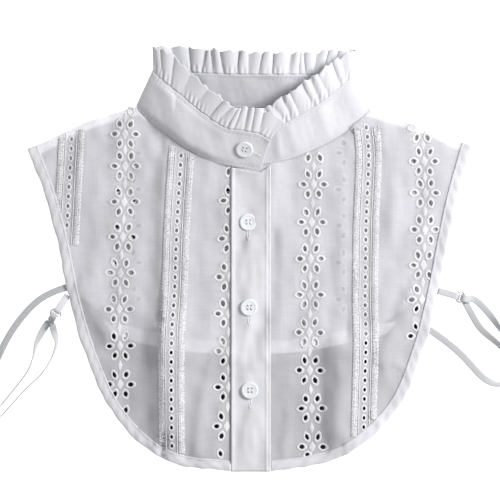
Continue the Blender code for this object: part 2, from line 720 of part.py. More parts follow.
def crowd(share, third):
    """Draw the shares of one third together near its side folds, where the band turns sharply."""
    if third == "back":
        return 0.5 - 0.5 * math.cos(math.pi * share)
    if third == "front_left":
        return math.sin(0.5 * math.pi * share)
    return 1.0 - math.cos(0.5 * math.pi * share)


def between_folds(shares, gap, third):
    """Fit shares of one third of the collar between its side folds, a gap clear of each."""
    first = 0.0 if third == "front_left" else gap
    last = 1.0 if third == "front_right" else 1.0 - gap
    return [first + (last - first) * share for share in shares]


def build_collar(collar, surface, collection):
    """The stand band and its gathered ruffle, each parted at the two side folds."""
    for third in ("front_left", "back", "front_right"):
        length = collar.length(1, third)
        columns = round(length / BAND_STEP)
        shares = [crowd(column / columns, third) for column in range(columns + 1)]
        shares = between_folds(shares, FOLD_GAP / length, third)
        rows = [[collar.band_point(third, share, reach) for share in shares] for reach in BAND_REACHES]
        sheet_between(f"band_{third}", rows, BAND_CLOTH, 0.0, surface, collection)
        columns = WAVES[third] * WAVE_COLUMNS
        shares = [column / columns for column in range(columns + 1)]
        shares = between_folds(shares, RUFFLE_FOLD_GAP / length, third)
        rows = [[collar.ruffle_point(third, share, reach) for share in shares] for reach in RUFFLE_REACHES]
        sheet_between(f"ruffle_{third}", rows, CLOTH, 0.0, surface, collection)


def button_mesh(surface):
    """A dished button with four thread holes, its underside on the level of its origin."""
    mesh = bmesh.new()
    verts = [mesh.verts.new((out * MM, 0.0, height * MM)) for out, height in BUTTON_PROFILE]
    edges = [mesh.edges.new(pair) for pair in zip(verts, verts[1:])]
    bmesh.ops.spin(
        mesh, geom=verts + edges, cent=(0.0, 0.0, 0.0), axis=(0.0, 0.0, 1.0), angle=math.tau,
        steps=BUTTON_SIDES, use_merge=True,
    )
    bmesh.ops.remove_doubles(mesh, verts=mesh.verts, dist=0.00001)
    bmesh.ops.recalc_face_normals(mesh, faces=mesh.faces)
    data = bpy.data.meshes.new("button")
    mesh.to_mesh(data)
    mesh.free()
    blank = bpy.data.objects.new("button_blank", data)
    bpy.context.scene.collection.objects.link(blank)
    cutters = []
    for quarter in range(4):
        turn = math.tau * (quarter + 0.5) / 4.0
        bpy.ops.mesh.primitive_cylinder_add(
            vertices=HOLE_SIDES, radius=BUTTON_HOLE_RADIUS * MM, depth=4.0 * BUTTON_THICKNESS * MM,
            location=(
                math.cos(turn) * BUTTON_HOLE_SPACING * math.sqrt(2.0) * MM,
                math.sin(turn) * BUTTON_HOLE_SPACING * math.sqrt(2.0) * MM,
                0.0,
            ),
        )
        cutter = bpy.context.object
        cutters.append(cutter)
        cut = blank.modifiers.new(f"hole_{quarter}", "BOOLEAN")
        cut.operation = "DIFFERENCE"
        cut.object = cutter
    evaluated = blank.evaluated_get(bpy.context.evaluated_depsgraph_get())
    cut_mesh = bpy.data.meshes.new_from_object(evaluated)
    cut_mesh.name = "button"
    for spare in cutters + [blank]:
        bpy.data.objects.remove(spare)
    cut_mesh.materials.clear()
    cut_mesh.materials.append(surface)
    return cut_mesh


def build_buttons(collar, underside, surface, collection):
    """Three buttons on the placket and one on the band."""
    mesh = button_mesh(surface)
    for index, (x, y) in enumerate(PLACKET_BUTTONS, start=1):
        button = bpy.data.objects.new(f"button_{index}", mesh)
        level = underside((x, y)) + CLOTH + GAP + PLACKET_CLOTH + GAP
        button.location = (x * MM, y * MM, level * MM)
        collection.objects.link(button)
    here = collar.band_point("front_left", BAND_BUTTON_ALONG, BAND_BUTTON_REACH)
    beside = collar.band_point("front_left", BAND_BUTTON_ALONG + NEARBY, BAND_BUTTON_REACH) - here
    upwards = collar.band_point("front_left", BAND_BUTTON_ALONG, BAND_BUTTON_REACH + NEARBY) - here
    normal = upwards.cross(beside).normalized()
    if normal.z < 0.0:
        normal = -normal
    button = bpy.data.objects.new("button_band", mesh)
    seat = here + normal * (BAND_CLOTH / 2.0 + GAP + BAND_BUTTON_SEAT)
    turned = normal.to_track_quat("Z", "Y").to_matrix().to_4x4()
    button.matrix_world = Matrix.Translation(seat * MM) @ turned
    collection.objects.link(button)


class RingFrame:
    """Directions at one leaning ring: along the strap, across it and up the ring's own plane."""

    def __init__(self, x, y, heading):
        turn = math.radians(heading)
        lean = math.radians(RING_TILT)
        self.middle = Vector((x, y, RING_HEIGHT))
        self.ahead = Vector((math.cos(turn), math.sin(turn), 0.0))
        self.across = Vector((-math.sin(turn), math.cos(turn), 0.0))
        self.up_plane = self.ahead * math.cos(lean) + Vector((0.0, 0.0, math.sin(lean)))
        self.off_plane = -self.ahead * math.sin(lean) + Vector((0.0, 0.0, math.cos(lean)))

    def at_height(self, behind, height):
        """A point behind the ring, towards the collar, at a height above the surface."""
        point = self.middle - self.ahead * behind
        return Vector((point.x, point.y, height))

    def reach_to(self, edge):
        """How far behind the ring a tab can run before its end meets an edge of the collar."""
        reach = RING_RADIUS
        while reach < TAB_LONGEST:
            for half in (-0.5, 0.5):
                corner = self.middle - self.ahead * reach + self.across * half * WEB_WIDTH
                if distance_to_line(Vector((corner.x, corner.y)), edge) < TAB_CORNER_GAP:
                    return reach
            reach += 0.1
        return reach

    def wrap(self, side):
        """Webbing rows round the wire: side 1 is the strap's, side -1 the tab's."""
        middle = 0.5 * (WEB_INSIDE + WEB_OUTSIDE)
        radius = 0.5 * (WEB_OUTSIDE - WEB_INSIDE)
        rows = []
        for part in range(WRAP_PARTS + 1):
            turn = math.pi * (1.0 - part / WRAP_PARTS)
            point = self.middle + side * self.up_plane * (middle + radius * math.cos(turn))
            point = point + side * self.off_plane * radius * math.sin(turn)
            rows.append(Vector((*point, *self.across)))
        leave = Vector((*(-side * WRAP_LEAD * self.off_plane), 0.0, 0.0, 0.0))
        return [rows[0] + leave] + rows + [rows[-1] + leave]


def webbing_rows(table):
    """Strap table rows as a middle and a width direction each."""
    rows = []
    for x, y, lift, heading, rise in table:
        turn = math.radians(heading)
        up = math.radians(rise)
        width = (math.cos(turn) * math.cos(up), math.sin(turn) * math.cos(up), math.sin(up))
        level = WEB_CLEAR + lift + 0.5 * (WEB_WIDTH * math.sin(up) + WEB_CLOTH * math.cos(up))
        rows.append(Vector((x, y, level, *width)))
    return rows


def build_webbing(name, rows, step, surface, collection):
    """A flat strip of webbing along rows of middles and width directions."""
    samples = smooth_curve(rows, WEB_CURVE_PARTS)
    line = [samples[0]]
    for first in range(0, len(samples) - 1, WEB_CURVE_PARTS):
        span = samples[first:first + WEB_CURVE_PARTS + 1]
        length = (Vector(span[-1][:3]) - Vector(span[0][:3])).length
        parts = max(1, round(length / step))
        line += [span[round(WEB_CURVE_PARTS * part / parts)] for part in range(1, parts + 1)]
    edges = [[], []]
    for index, row in enumerate(line):
        before = Vector(line[max(index - 1, 0)][:3])
        after = Vector(line[min(index + 1, len(line) - 1)][:3])
        along = (after - before).normalized()
        width = Vector(row[3:])
        width = (width - along * width.dot(along)).normalized()
        middle = Vector(row[:3])
        half_height = 0.5 * (WEB_WIDTH * abs(width.z) + WEB_CLOTH * math.sqrt(1.0 - width.z ** 2))
        middle.z = max(middle.z, WEB_CLEAR + half_height)
        edges[0].append(middle - width * WEB_WIDTH / 2.0)
        edges[1].append(middle + width * WEB_WIDTH / 2.0)
    return sheet_between(name, edges, WEB_CLOTH, 0.0, surface, collection)


def build_strap(side, ring, end, loop, surfaces, collection):
    """One ring, the folded tab that holds it and the strap that runs through it."""
    frame = RingFrame(*ring)
    bpy.ops.mesh.primitive_torus_add(
        major_radius=RING_RADIUS * MM, minor_radius=RING_WIRE * MM, major_segments=16, minor_segments=6,
    )
    wire = bpy.context.object
    wire.name = f"ring_{side}"
    wire.data.materials.append(surfaces["ring"])
    axes = Matrix((frame.up_plane, frame.across, frame.off_plane)).transposed().to_4x4()
    wire.matrix_world = Matrix.Translation(frame.middle * MM) @ axes
    for holder in list(wire.users_collection):
        holder.objects.unlink(wire)
    collection.objects.link(wire)
    strap = webbing_rows(end) + frame.wrap(1) + webbing_rows(loop)
    build_webbing(f"strap_{side}", strap, WEB_STEP, surfaces["strap"], collection)
    reach = frame.reach_to(armhole_and_hem(side)[0])
    over = [frame.at_height(reach, TAB_TOP_START), frame.at_height(TAB_BEND, TAB_TOP_BEND)]
    floor_level = WEB_CLEAR + 0.5 * WEB_CLOTH
    under = [frame.at_height(TAB_BEND, TAB_UNDER_BEND), frame.at_height(reach + TAB_UNDER, floor_level)]
    tab = [Vector((*point, *frame.across)) for point in over] + frame.wrap(-1)
    tab += [Vector((*point, *frame.across)) for point in under]
    build_webbing(f"tab_{side}", tab, TAB_STEP, surfaces["tab"], collection)


def main():
    for old in list(bpy.data.objects):
        bpy.data.objects.remove(old)
    collection = bpy.data.collections.new(COLLECTION)
    bpy.context.scene.collection.children.link(collection)
    eyelet_cloth = material("eyelet_cotton", (0.86, 0.87, 0.9), 0.85)
    plain_cloth = material("plain_cotton", (0.9, 0.91, 0.94), 0.8)
    button_resin = material("button_resin", (0.88, 0.9, 0.93), 0.35)
    surfaces = {
        "ring": material("ring_metal", (0.85, 0.86, 0.88), 0.3, 1.0),
        "strap": material("elastic", (0.78, 0.79, 0.82), 0.7),
        "tab": plain_cloth,
    }
    collar = Collar()
    outline, lower, hem_line = back_outline(collar)
    build_back(outline, lower, hem_line, eyelet_cloth, collection)
    underside = front_underside(lower + outline[len(hem_line):])
    sides = [Vector(BACK_SIDE_TOP_LEFT), Vector(BACK_SIDE_TOP_RIGHT)]
    build_fronts(collar, underside, sides[:1] + lower + sides[1:], eyelet_cloth, collection)
    for side in ("left", "right"):
        build_binding(side, underside, plain_cloth, collection)
    build_placket(collar, underside, plain_cloth, collection)
    build_collar(collar, plain_cloth, collection)
    build_buttons(collar, underside, button_resin, collection)
    build_strap("left", RING_LEFT, STRAP_LEFT_END, STRAP_LEFT_LOOP, surfaces, collection)
    build_strap("right", RING_RIGHT, STRAP_RIGHT_END, STRAP_RIGHT_LOOP, surfaces, collection)


if __name__ == "__main__":
    main()
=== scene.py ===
"""How the detachable collar looks: sheer cutwork cotton, satin stitching, ruffle, buttons and straps.

X runs to the viewer's right, Y towards the ruffle and Z up from the surface that the collar lies on.
Sizes are in millimetres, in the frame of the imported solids, and become metres when a mesh is made.
"""

import math
import random

import bmesh
import bpy
import numpy as np
from mathutils import Matrix, Vector
from mathutils.geometry import delaunay_2d_cdt


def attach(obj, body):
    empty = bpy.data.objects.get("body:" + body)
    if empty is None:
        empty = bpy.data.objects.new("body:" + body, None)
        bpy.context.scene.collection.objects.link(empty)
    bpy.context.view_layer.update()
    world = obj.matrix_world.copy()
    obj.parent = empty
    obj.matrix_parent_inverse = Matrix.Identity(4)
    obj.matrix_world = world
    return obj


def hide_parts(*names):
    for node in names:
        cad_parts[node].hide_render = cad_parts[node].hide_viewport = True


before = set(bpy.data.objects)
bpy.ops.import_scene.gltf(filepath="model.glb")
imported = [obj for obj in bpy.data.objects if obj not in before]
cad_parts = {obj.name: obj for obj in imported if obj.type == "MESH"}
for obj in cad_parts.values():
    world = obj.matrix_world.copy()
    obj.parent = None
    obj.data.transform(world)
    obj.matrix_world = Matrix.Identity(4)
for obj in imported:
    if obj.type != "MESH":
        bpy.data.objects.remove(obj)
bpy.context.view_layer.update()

MM = 0.001
TURN = math.tau

# The camera looks straight down. The picture is this wide at the cloth, and this is its middle.
# Only the camera's reach is in metres
PICTURE_WIDTH = 410.0
PICTURE_MIDDLE = (0.0, 7.4)
CAMERA_LENS = 110.0
CAMERA_SENSOR = 36.0
CAMERA_REACH = 20.0

# Cloth: how thick the shown shells are and how high they lie in the walls of their solids, how
# thick those are, the gap between two layers, and the thickness of each plain piece
SHEER = 0.35
SHEER_LEVEL = 0.65
SOLID_CLOTH = 1.0
SEAM = 0.3
HEM_CLOTH = 1.5
BAND_CLOTH = 1.2
RUFFLE_CLOTH = 0.6
BINDING_CLOTH = 1.6
PLACKET_CLOTH = 1.2
# The panels' grid: its step, its rows' share of that, and in steps the room that it leaves at the
# edge and at a hole. Points closer than the last value are one
PANEL_GRID = 2.8
ROW_SHARE = 0.87
EDGE_ROOM = 0.6
HOLE_ROOM = 0.35
SAME_POINT = 0.0001
# Step along the panels' edges, and how far a front runs on under its binding
EDGE_STEP = 2.6
UNDER_BINDING = 2.2

# Plain pieces: widths of the binding and of the hem, and the placket's sides and lower end
BINDING_WIDTH = 8.5
HEM_WIDTH = 11.0
PLACKET_LEFT = -15.6
PLACKET_RIGHT = 17.0
PLACKET_BOTTOM = -174.0
# How far inside the neck seam, the shoulders and the armholes the back ends
NECK_INSET = 0.9
SHOULDER_INSET = 1.0
BACK_INSET = 1.8
# Where the back's armhole sides begin and end, above its slanted sides and below the shoulder's
# tip, and how far in and down its own tip lies
BACK_ROOM = (3.0, 5.0)
BACK_CORNER = (1.5 * BACK_INSET, 0.6)
# How far the back's cloth runs on under its hem
BACK_UNDER_HEM = 1.5
# The right front's edge under the placket, how its lower corner rises, and the left front's edge
UNDERLAP_LEFT = -13.0
UNDERLAP_RISE = 1.2
FRONT_LEFT_EDGE = -11.5
# Points that a front's edge under the placket is drawn through
MIDDLE_POINTS = 90
# How far the lines that make an outline stop short of its corners
CORNER_ROOM = 1.0
# How the placket's top runs on beyond the left front's neck seam: x, y
PLACKET_TOP_RIGHT = [(12.5, 74.0), (18.0, 77.2)]

# Heights of the layers: the fronts lie over the back, then come down to the surface
FRONT_LIFT = HEM_CLOTH + 0.4
# How far beyond the back they keep their height and over what distance they fall
LIFT_KEEP = 2.0
LIFT_FALL = 16.0
# The strap lies under the right front: how far it lifts that, over what distance, and its line
STRAP_LIFT = 1.5
STRAP_LIFT_FALL = 8.0
STRAP_UNDER_FRONT = [(133.0, -46.5), (150.6, -60.6), (160.0, -67.0)]

# Side edges of the two fronts, from the shoulder tip round to the middle of the hem: x, y
SIDE_EDGES = {
    "left": [
        (-182.0, 90.2), (-167.6, 51.7), (-156.4, 9.0), (-147.8, -33.6), (-135.8, -75.0),
        (-116.5, -119.5), (-89.5, -151.5), (-58.0, -168.3), (-15.0, -174.0),
    ],
    "right": [
        (181.7, 93.2), (170.0, 52.0), (162.4, 16.0), (153.5, -28.0), (142.2, -73.4),
        (121.5, -122.0), (84.0, -157.0), (50.0, -169.3), (16.0, -174.0),
    ],
}
# Shoulder edges, from the collar out to the tip: x, y
SHOULDERS = {
    "left": [(-92.7, 124.6), (-113.5, 119.4), (-131.8, 113.4), (-147.4, 106.4), (-182.0, 90.2)],
    "right": [(97.6, 123.2), (117.7, 117.3), (143.8, 108.8), (157.5, 103.0), (181.7, 93.2)],
}

# The back below the arms: where its slanted sides leave the armholes, and its lower edge: x, y
BACK_SIDE_TOPS = {
    "left": (-145.0, -27.0),
    "right": (150.0, -24.0),
}
BACK_LOWER_EDGE = [
    (-113.2, -60.7), (-90.2, -68.9), (-49.2, -76.2), (0.0, -78.0), (41.0, -76.2), (82.0, -68.6),
    (111.2, -62.0),
]

# The collar as three closed rings: the seam at the neck, the seam under the ruffle, and the
# ruffle's free edge. Each runs from the upper lap's end at the placket, round the viewer's left,
# behind the neck and back on the right to the hidden lap's end: x, y, z
NECK_SEAM = [
    (8.6, 71.8, 4.4), (-11.5, 75.2, 4.3), (-25.5, 78.0, 3.2), (-41.2, 83.8, 2.6), (-54.3, 90.4, 2.6),
    (-67.4, 100.2, 2.6), (-80.4, 110.7, 2.6), (-89.6, 119.4, 2.6),
    (-92.7, 124.6, 1.9),
    (-88.0, 126.4, 0.9), (-60.0, 124.8, 0.8), (-20.0, 123.8, 0.8), (25.0, 123.8, 0.8),
    (60.0, 124.4, 0.8), (93.0, 125.4, 0.9),
    (97.6, 122.8, 1.9),
    (94.2, 118.0, 2.6), (85.6, 110.7, 2.6), (76.4, 102.8, 2.6), (63.4, 95.2, 2.6), (50.3, 88.6, 2.6),
    (30.7, 81.4, 2.6), (16.4, 78.4, 2.4), (0.0, 76.4, 2.2), (-11.5, 75.8, 2.2),
]
NECK_FOLDS = (8, 15)
TOP_SEAM = [
    (16.3, 96.3, 18.4), (7.1, 101.5, 18.8), (-7.2, 104.1, 18.6), (-21.6, 107.0, 17.6),
    (-41.2, 120.5, 16.2), (-54.3, 131.5, 15.6), (-67.4, 142.0, 14.8), (-74.5, 148.2, 13.6),
    (-78.5, 153.1, 11.0),
    (-74.5, 154.6, 9.0), (-54.0, 152.4, 9.8), (-28.0, 150.2, 15.6), (-2.0, 149.4, 18.6),
    (24.0, 149.4, 18.4), (50.0, 150.0, 12.6), (77.5, 151.4, 9.0),
    (82.8, 148.6, 11.0),
    (79.6, 145.0, 13.6), (68.0, 135.0, 14.8), (56.8, 126.4, 15.4), (43.8, 118.5, 15.6),
    (29.4, 110.6, 15.4), (14.8, 103.3, 14.6), (4.0, 101.4, 14.0), (-5.0, 100.6, 13.8),
]
TOP_FOLDS = (8, 16)
RUFFLE_EDGE = [
    (27.5, 112.0, 22.4), (17.0, 119.5, 23.0), (2.5, 122.4, 23.0), (-13.1, 124.0, 22.4),
    (-30.1, 136.6, 21.0), (-43.1, 147.4, 20.2), (-54.6, 159.0, 19.4), (-68.0, 169.6, 18.4),
    (-78.6, 172.6, 14.4),
    (-74.0, 173.8, 10.6), (-50.3, 173.0, 11.6), (-28.0, 169.8, 18.0), (-2.0, 168.2, 21.6),
    (26.0, 167.2, 21.4), (52.0, 168.4, 14.0), (80.0, 172.0, 10.6),
    (86.0, 168.8, 14.4),
    (80.0, 167.6, 18.2), (70.5, 163.6, 19.2), (61.5, 155.6, 19.8), (50.7, 148.2, 20.2),
    (37.0, 139.0, 19.8), (24.0, 130.0, 18.4), (8.0, 121.5, 15.8), (-3.0, 118.6, 15.4),
]
RUFFLE_FOLDS = (8, 16)

# Eyelet flowers: middles down each column, x, y. Holes that leave a panel aren't cut.
FLOWERS_OUTER_LEFT = [
    (-102.3, 128.5), (-102.3, 102.3), (-102.3, 76.1), (-103.0, 46.7), (-104.3, 18.0), (-106.3, -11.5),
    (-107.2, -40.9), (-106.5, -71.3), (-106.5, -102.6), (-106.5, -132.8),
]
FLOWERS_INNER_LEFT = [
    (-13.3, 79.5), (-13.5, 47.8), (-14.6, 16.6), (-16.6, -14.5), (-17.5, -44.4), (-17.5, -75.4),
    (-17.5, -105.2), (-18.9, -136.9),
]
FLOWERS_INNER_RIGHT = [
    (52.1, 91.0), (51.7, 61.1), (50.3, 30.3), (49.4, 0.3), (49.0, -29.4), (48.4, -60.1),
    (48.9, -91.3), (50.3, -122.4), (50.9, -153.8),
]
FLOWERS_OUTER_RIGHT = [
    (140.5, 107.4), (142.5, 80.0), (143.2, 53.9), (142.9, 23.9), (141.9, -4.9), (140.5, -33.0),
    (139.9, -63.1),
]
BACK_FLOWER_COLUMNS = (-100.0, -9.4, 81.2)
BACK_FLOWER_TOP = 87.0
BACK_FLOWER_PITCH = 30.0
BACK_FLOWERS = 5

# One flower: each hole's middle from the flower's own, its length, its width and its lean
#   x, y, length, width, degrees from X
FLOWER_HOLES = [
    (-4.6, 8.0, 4.7, 3.1, 105.0), (4.6, 8.0, 4.7, 3.1, 75.0),
    (-4.6, -8.0, 4.7, 3.1, 75.0), (4.6, -8.0, 4.7, 3.1, 105.0),
    (-8.6, 0.0, 4.1, 3.3, 0.0), (8.6, 0.0, 4.1, 3.3, 0.0),
]
# Single eyelets that the binding leaves of flowers it cuts off: x, y, length, width, lean
CUT_FLOWER_HOLES = {
    "left": [
        (-102.0, -124.0, 4.9, 3.2, 75.0), (-98.2, -132.6, 4.4, 3.3, 115.0),
        (-24.3, -159.4, 4.5, 2.8, 105.0),
    ],
    "right": [(46.8, -160.2, 3.4, 2.8, 20.0)],
}
# Soft creases of the fronts: a ridge or a trough from one end to the other
#   x, y, x, y, half width, height
CREASES = [
    (-74.0, 60.0, -70.0, -30.0, 9.0, 0.7),
    (-83.0, -62.0, -80.0, -130.0, 8.0, 1.5),
    (-38.0, -105.0, -44.0, -158.0, 6.0, 1.8),
    (-25.0, -120.0, -28.0, -160.0, 5.0, 1.2),
    (28.0, 50.0, 26.0, -60.0, 7.0, 0.8),
    (74.0, -70.0, 70.0, -150.0, 8.0, 1.6),
    (118.0, -10.0, 108.0, -95.0, 9.0, 1.3),
    (120.0, 90.0, 116.0, 30.0, 8.0, 0.9),
]

# Each ring: middle x, y, and the heading from the tab to the strap in degrees from X
RINGS = {
    "left": (-158.6, -44.4, 238.0),
    "right": (171.6, -31.0, -16.0),
}

# Strap routes outside the rings: x, y, lift off the surface, then where the webbing's width
# points: its heading in degrees from X and its rise above the level
STRAP_ENDS = {
    "left": [
        (-204.0, -120.0, 0.0, 0.0, 88.0), (-192.5, -106.0, 0.0, 0.0, 90.0),
        (-182.0, -92.0, 0.0, 0.0, 90.0), (-177.2, -79.5, 0.0, 0.0, 90.0),
        (-174.5, -68.5, 0.0, 150.0, 60.0), (-168.0, -56.0, 0.6, 150.0, 15.0),
    ],
    "right": [
        (211.0, -79.0, 0.0, 48.0, 60.0), (203.0, -69.5, 0.0, 46.0, 40.0),
        (189.0, -56.8, 0.0, 46.0, 12.0), (179.0, -40.5, 1.0, 62.0, 4.0),
    ],
}
STRAP_LOOPS = {
    "left": [
        (-160.5, -58.0, 2.4, 160.0, 15.0), (-158.2, -68.5, 0.3, 150.0, 70.0),
        (-162.5, -81.5, 0.0, 0.0, 90.0), (-171.0, -94.5, 0.0, 0.0, 90.0),
        (-184.5, -107.5, 0.0, 0.0, 90.0), (-197.5, -122.0, 0.0, 0.0, 90.0),
        (-205.0, -129.2, 0.0, 0.0, 90.0), (-214.0, -131.5, 0.0, 0.0, 90.0),
        (-221.4, -123.0, 0.0, 0.0, 90.0), (-218.5, -107.0, 0.0, 0.0, 88.0),
        (-209.5, -89.0, 0.0, 345.0, 45.0), (-202.0, -71.5, 0.0, 340.0, 4.0),
        (-194.0, -57.4, 0.0, 328.0, 0.0), (-182.4, -42.6, 0.0, 318.0, 0.0),
        (-171.6, -32.8, 0.0, 314.0, 0.0), (-160.0, -26.6, 0.0, 304.0, 0.0),
        (-148.6, -22.6, 0.0, 292.0, 0.0),
    ],
    "right": [
        (184.5, -33.6, 2.4, 66.0, 4.0), (196.0, -45.0, 0.4, 46.0, 12.0),
        (206.5, -60.0, 0.0, 42.0, 60.0), (216.0, -73.0, 0.0, 35.0, 88.0),
        (221.8, -87.0, 0.0, 0.0, 90.0), (215.5, -99.5, 0.0, 0.0, 90.0),
        (203.0, -102.5, 0.0, 270.0, 50.0), (191.0, -97.0, 0.0, 235.0, 5.0),
        (174.0, -79.0, 0.0, 227.0, 0.0), (159.5, -66.6, 0.0, 232.0, 0.0),
        (147.0, -57.8, 0.0, 236.0, 0.0), (133.5, -48.4, 0.0, 236.0, 0.0),
    ],
}

# Stage: a wide pale floor, and a dark card under the collar that ends this far inside its edges
FLOOR_REACH = 3000.0
FLOOR_LEVEL = -1.2
FLOOR_COLOUR = (0.9, 0.9, 0.9)
FLOOR_GLOW = 0.8
CARD_INSET = 6.5
CARD_LEVEL = -0.6
CARD_COLOUR = (0.012, 0.012, 0.013)
STAGE_ROUGHNESS = 0.9
# The card's upper edge, behind the neck: x, y
CARD_TOP = [(88.0, 114.0), (60.0, 117.0), (-60.0, 117.0), (-86.0, 114.0)]
# Points of each side edge at the shoulder's tip that the card leaves out
CARD_SKIPPED = 3

# Light: an even white world and one soft key, placed in metres
WORLD_LIGHT = 0.4
KEY_PLACE = (1.24, 0.48, 1.14)
KEY_POWER = 31.0
KEY_SIZE = 0.6

# Finer folds of the fronts: a ridge's two ends, how wide it falls to the viewer's left
# and to the right, and its height
#   x, y, x, y, left, right, height
FRONT_FOLDS = [
    (-83.0, -62.0, -80.0, -130.0, 8.0, 8.0, -1.5),
    (-70.0, 82.0, -72.0, -40.0, 5.0, 24.0, 2.6),
    (-72.0, -60.0, -69.0, -136.0, 13.0, 28.0, 8.6),
    (-71.0, -56.0, -66.0, -140.0, 4.5, 12.0, 2.6),
    (-34.0, -92.0, -42.0, -158.0, 6.0, 12.0, 2.0),
    (-24.0, 70.0, -30.0, -60.0, 12.0, 10.0, 1.3),
    (-128.0, 70.0, -122.0, -10.0, 14.0, 10.0, 0.6),
    (-139.0, -24.0, -119.0, -58.0, 5.0, 12.0, 1.8),
    (-88.0, 112.0, -80.0, 84.0, 4.0, 6.0, 0.9),
    (-96.0, 118.0, -118.0, 96.0, 4.0, 7.0, 0.7),
    (30.0, 60.0, 28.0, -20.0, 6.0, 8.0, 0.5),
    (31.0, -95.0, 29.0, -160.0, 3.0, 5.0, 0.6),
    (81.0, -76.0, 77.0, -142.0, 14.0, 22.0, 7.0),
    (24.6, 66.0, 25.2, -158.0, 1.4, 2.6, 0.4),
    (64.0, -72.0, 63.0, -140.0, 3.6, 9.0, 2.0),
    (78.0, 84.0, 76.0, -40.0, 7.0, 16.0, 1.5),
    (130.0, -28.0, 106.0, -82.0, 5.0, 12.0, 2.6),
    (101.0, 119.0, 84.0, 108.0, 2.6, 5.0, 2.6),
    (106.0, 118.0, 110.0, 92.0, 3.0, 8.0, 1.5),
    (122.0, 96.0, 118.0, 20.0, 7.0, 12.0, 0.7),
    (19.0, 76.0, 17.0, 30.0, 20.0, 6.0, 4.0),
    (-94.0, -152.0, -90.5, -142.0, 1.3, 5.0, 1.3),
    (-78.0, -160.0, -76.0, -149.0, 1.6, 6.0, 2.2),
    (-121.0, -122.0, -112.0, -116.0, 1.4, 5.0, 1.2),
    (-136.0, -82.0, -126.0, -78.0, 1.5, 5.0, 1.1),
    (-52.0, -170.0, -47.0, -158.0, 1.8, 6.0, 0.9),
    (62.0, -168.0, 66.0, -156.0, 1.6, 6.0, 1.0),
    (128.0, -92.0, 118.0, -86.0, 1.6, 6.0, 1.2),
    (104.0, -134.0, 98.0, -128.0, 1.5, 5.0, 1.0),
]
# Lowest level of the fronts' undersides where the cloth settles on the surface
SETTLED = 0.25
# Wandering waves along a line: the wave's length, how far its turn drifts and over what length
NECK_PLEAT_WAVE = (4.4, 1.8, 13.0)
BAND_PLEAT_WAVE = (3.4, 1.7, 11.0)
RUFFLE_PUCKER_WAVE = (4.1, 1.6, 9.0)
BINDING_PUCKER_WAVE = (4.3, 1.5, 11.0)
BINDING_SWELL_WAVE = (12.5, 2.0, 31.0)
# Small pleats of the fronts below the neck seam: their rise, how far they reach and their strength
NECK_PLEATS = (0.34, 6.5)
NECK_PLEAT_STRENGTH = {"front_left": 0.6, "front_right": 1.0}
# The seam's own thickness under the neck line: its rise and how far it reaches
NECK_RISE = (0.9, 4.0)
# Small pleats of the band along its two seams: their rise, the share of its width they reach and
# where they are highest, the share over which they begin, and how far they slant
BAND_PLEATS = (0.28, 0.13)
BAND_PLEAT_CREST = 0.05
BAND_PLEAT_START = 0.04
BAND_PLEAT_SLANT = 5.0
# How uneven they are: mean, change, length of the change and its turn
BAND_PLEAT_UNEVEN = (0.55, 0.45, 19.0, 2.0)
# How the cloth's swells are drawn together and shifted for the placket and for the band
PLACKET_SWELLS = (1.2, 91.0)
BAND_SWELLS = (0.8, 37.0)
# The placket's share of them
PLACKET_SWELL = 0.5
# Folds that fall from the placket's buttons, from each button's middle
BUTTON_FOLDS = [
    (-1.0, -15.0, -7.0, -44.0, 2.0, 4.0, 0.9), (0.5, -15.0, 3.0, -50.0, 1.6, 3.0, 0.8),
    (4.0, -13.0, 12.0, -40.0, 3.4, 4.0, 0.9), (-5.0, 9.0, -10.0, 30.0, 2.5, 4.0, 0.3),
]
# Folds of the band's front, in plan like the panels' own
BAND_FOLDS = [
    (31.0, 108.0, 40.0, 84.0, 5.0, 7.0, 1.5), (22.0, 104.0, 24.0, 84.0, 4.0, 3.0, 0.8),
    (56.0, 124.0, 66.0, 98.0, 5.0, 8.0, 1.0), (-26.0, 112.0, -16.0, 82.0, 8.0, 12.0, 0.8),
    (-66.0, 138.0, -56.0, 96.0, 7.0, 12.0, 0.8), (-80.0, 144.0, -78.0, 112.0, 5.0, 8.0, 0.6),
    (80.0, 142.0, 88.0, 112.0, 9.0, 9.0, 1.2), (-62.0, 112.0, -36.0, 86.0, 30.0, 18.0, 4.4),
]

# Ladders of small eyelets: the line of their middles, x, y
LADDER_OUTER_LEFT = [(-146.0, 106.0), (-148.2, 60.0), (-150.9, 12.0)]
LADDER_LEFT = [(-56.0, 92.0), (-59.9, 27.1), (-61.7, -25.4), (-64.0, -74.6), (-63.8, -160.0)]
LADDER_RIGHT = [
    (95.0, 107.5), (96.8, 90.0), (96.6, 70.0), (94.8, 28.7), (94.0, -30.3), (94.4, -68.1), (92.6, -145.0),
]
# Their pitch, a hole's length and width, its rim past the ends and sides, and the least room to
# the panel's edge
LADDER_PITCH = 7.7
LADDER_HOLE = (3.2, 2.3)
LADDER_RIM = (1.4, 1.4)
LADDER_MARGIN = 2.5
# Beside each ladder a twisted cord and rows of slanting bars, by their distance from its line. One
# twist of the cord has a length, a share by which its thickness pulses, and so many samples
CORD_OFFSET = 4.5
CORD_WIDTH = 0.85
CORD_HEIGHT = 0.6
CORD_TWIST = 1.2
CORD_PULSE = 0.16
CORD_PARTS = 3.0
CORD_LEVEL = 0.32
CORD_SIDES = 6
FEATHER_OFFSETS = (6.2, 7.9, 9.6)
FEATHER_PERIOD = 2.3
# A bar's length, width and height, its level, and its places and sizes from end to end
FEATHER_BAR = (2.2, 0.8, 0.3)
BAR_LEVEL = 0.06
BAR_SHARES = np.array([-1.0, -0.6, 0.6, 1.0])
BAR_SIZES = np.array([0.35, 1.0, 1.0, 0.35])
BAR_SIDES = 4
FEATHER_LEAN = 42.0
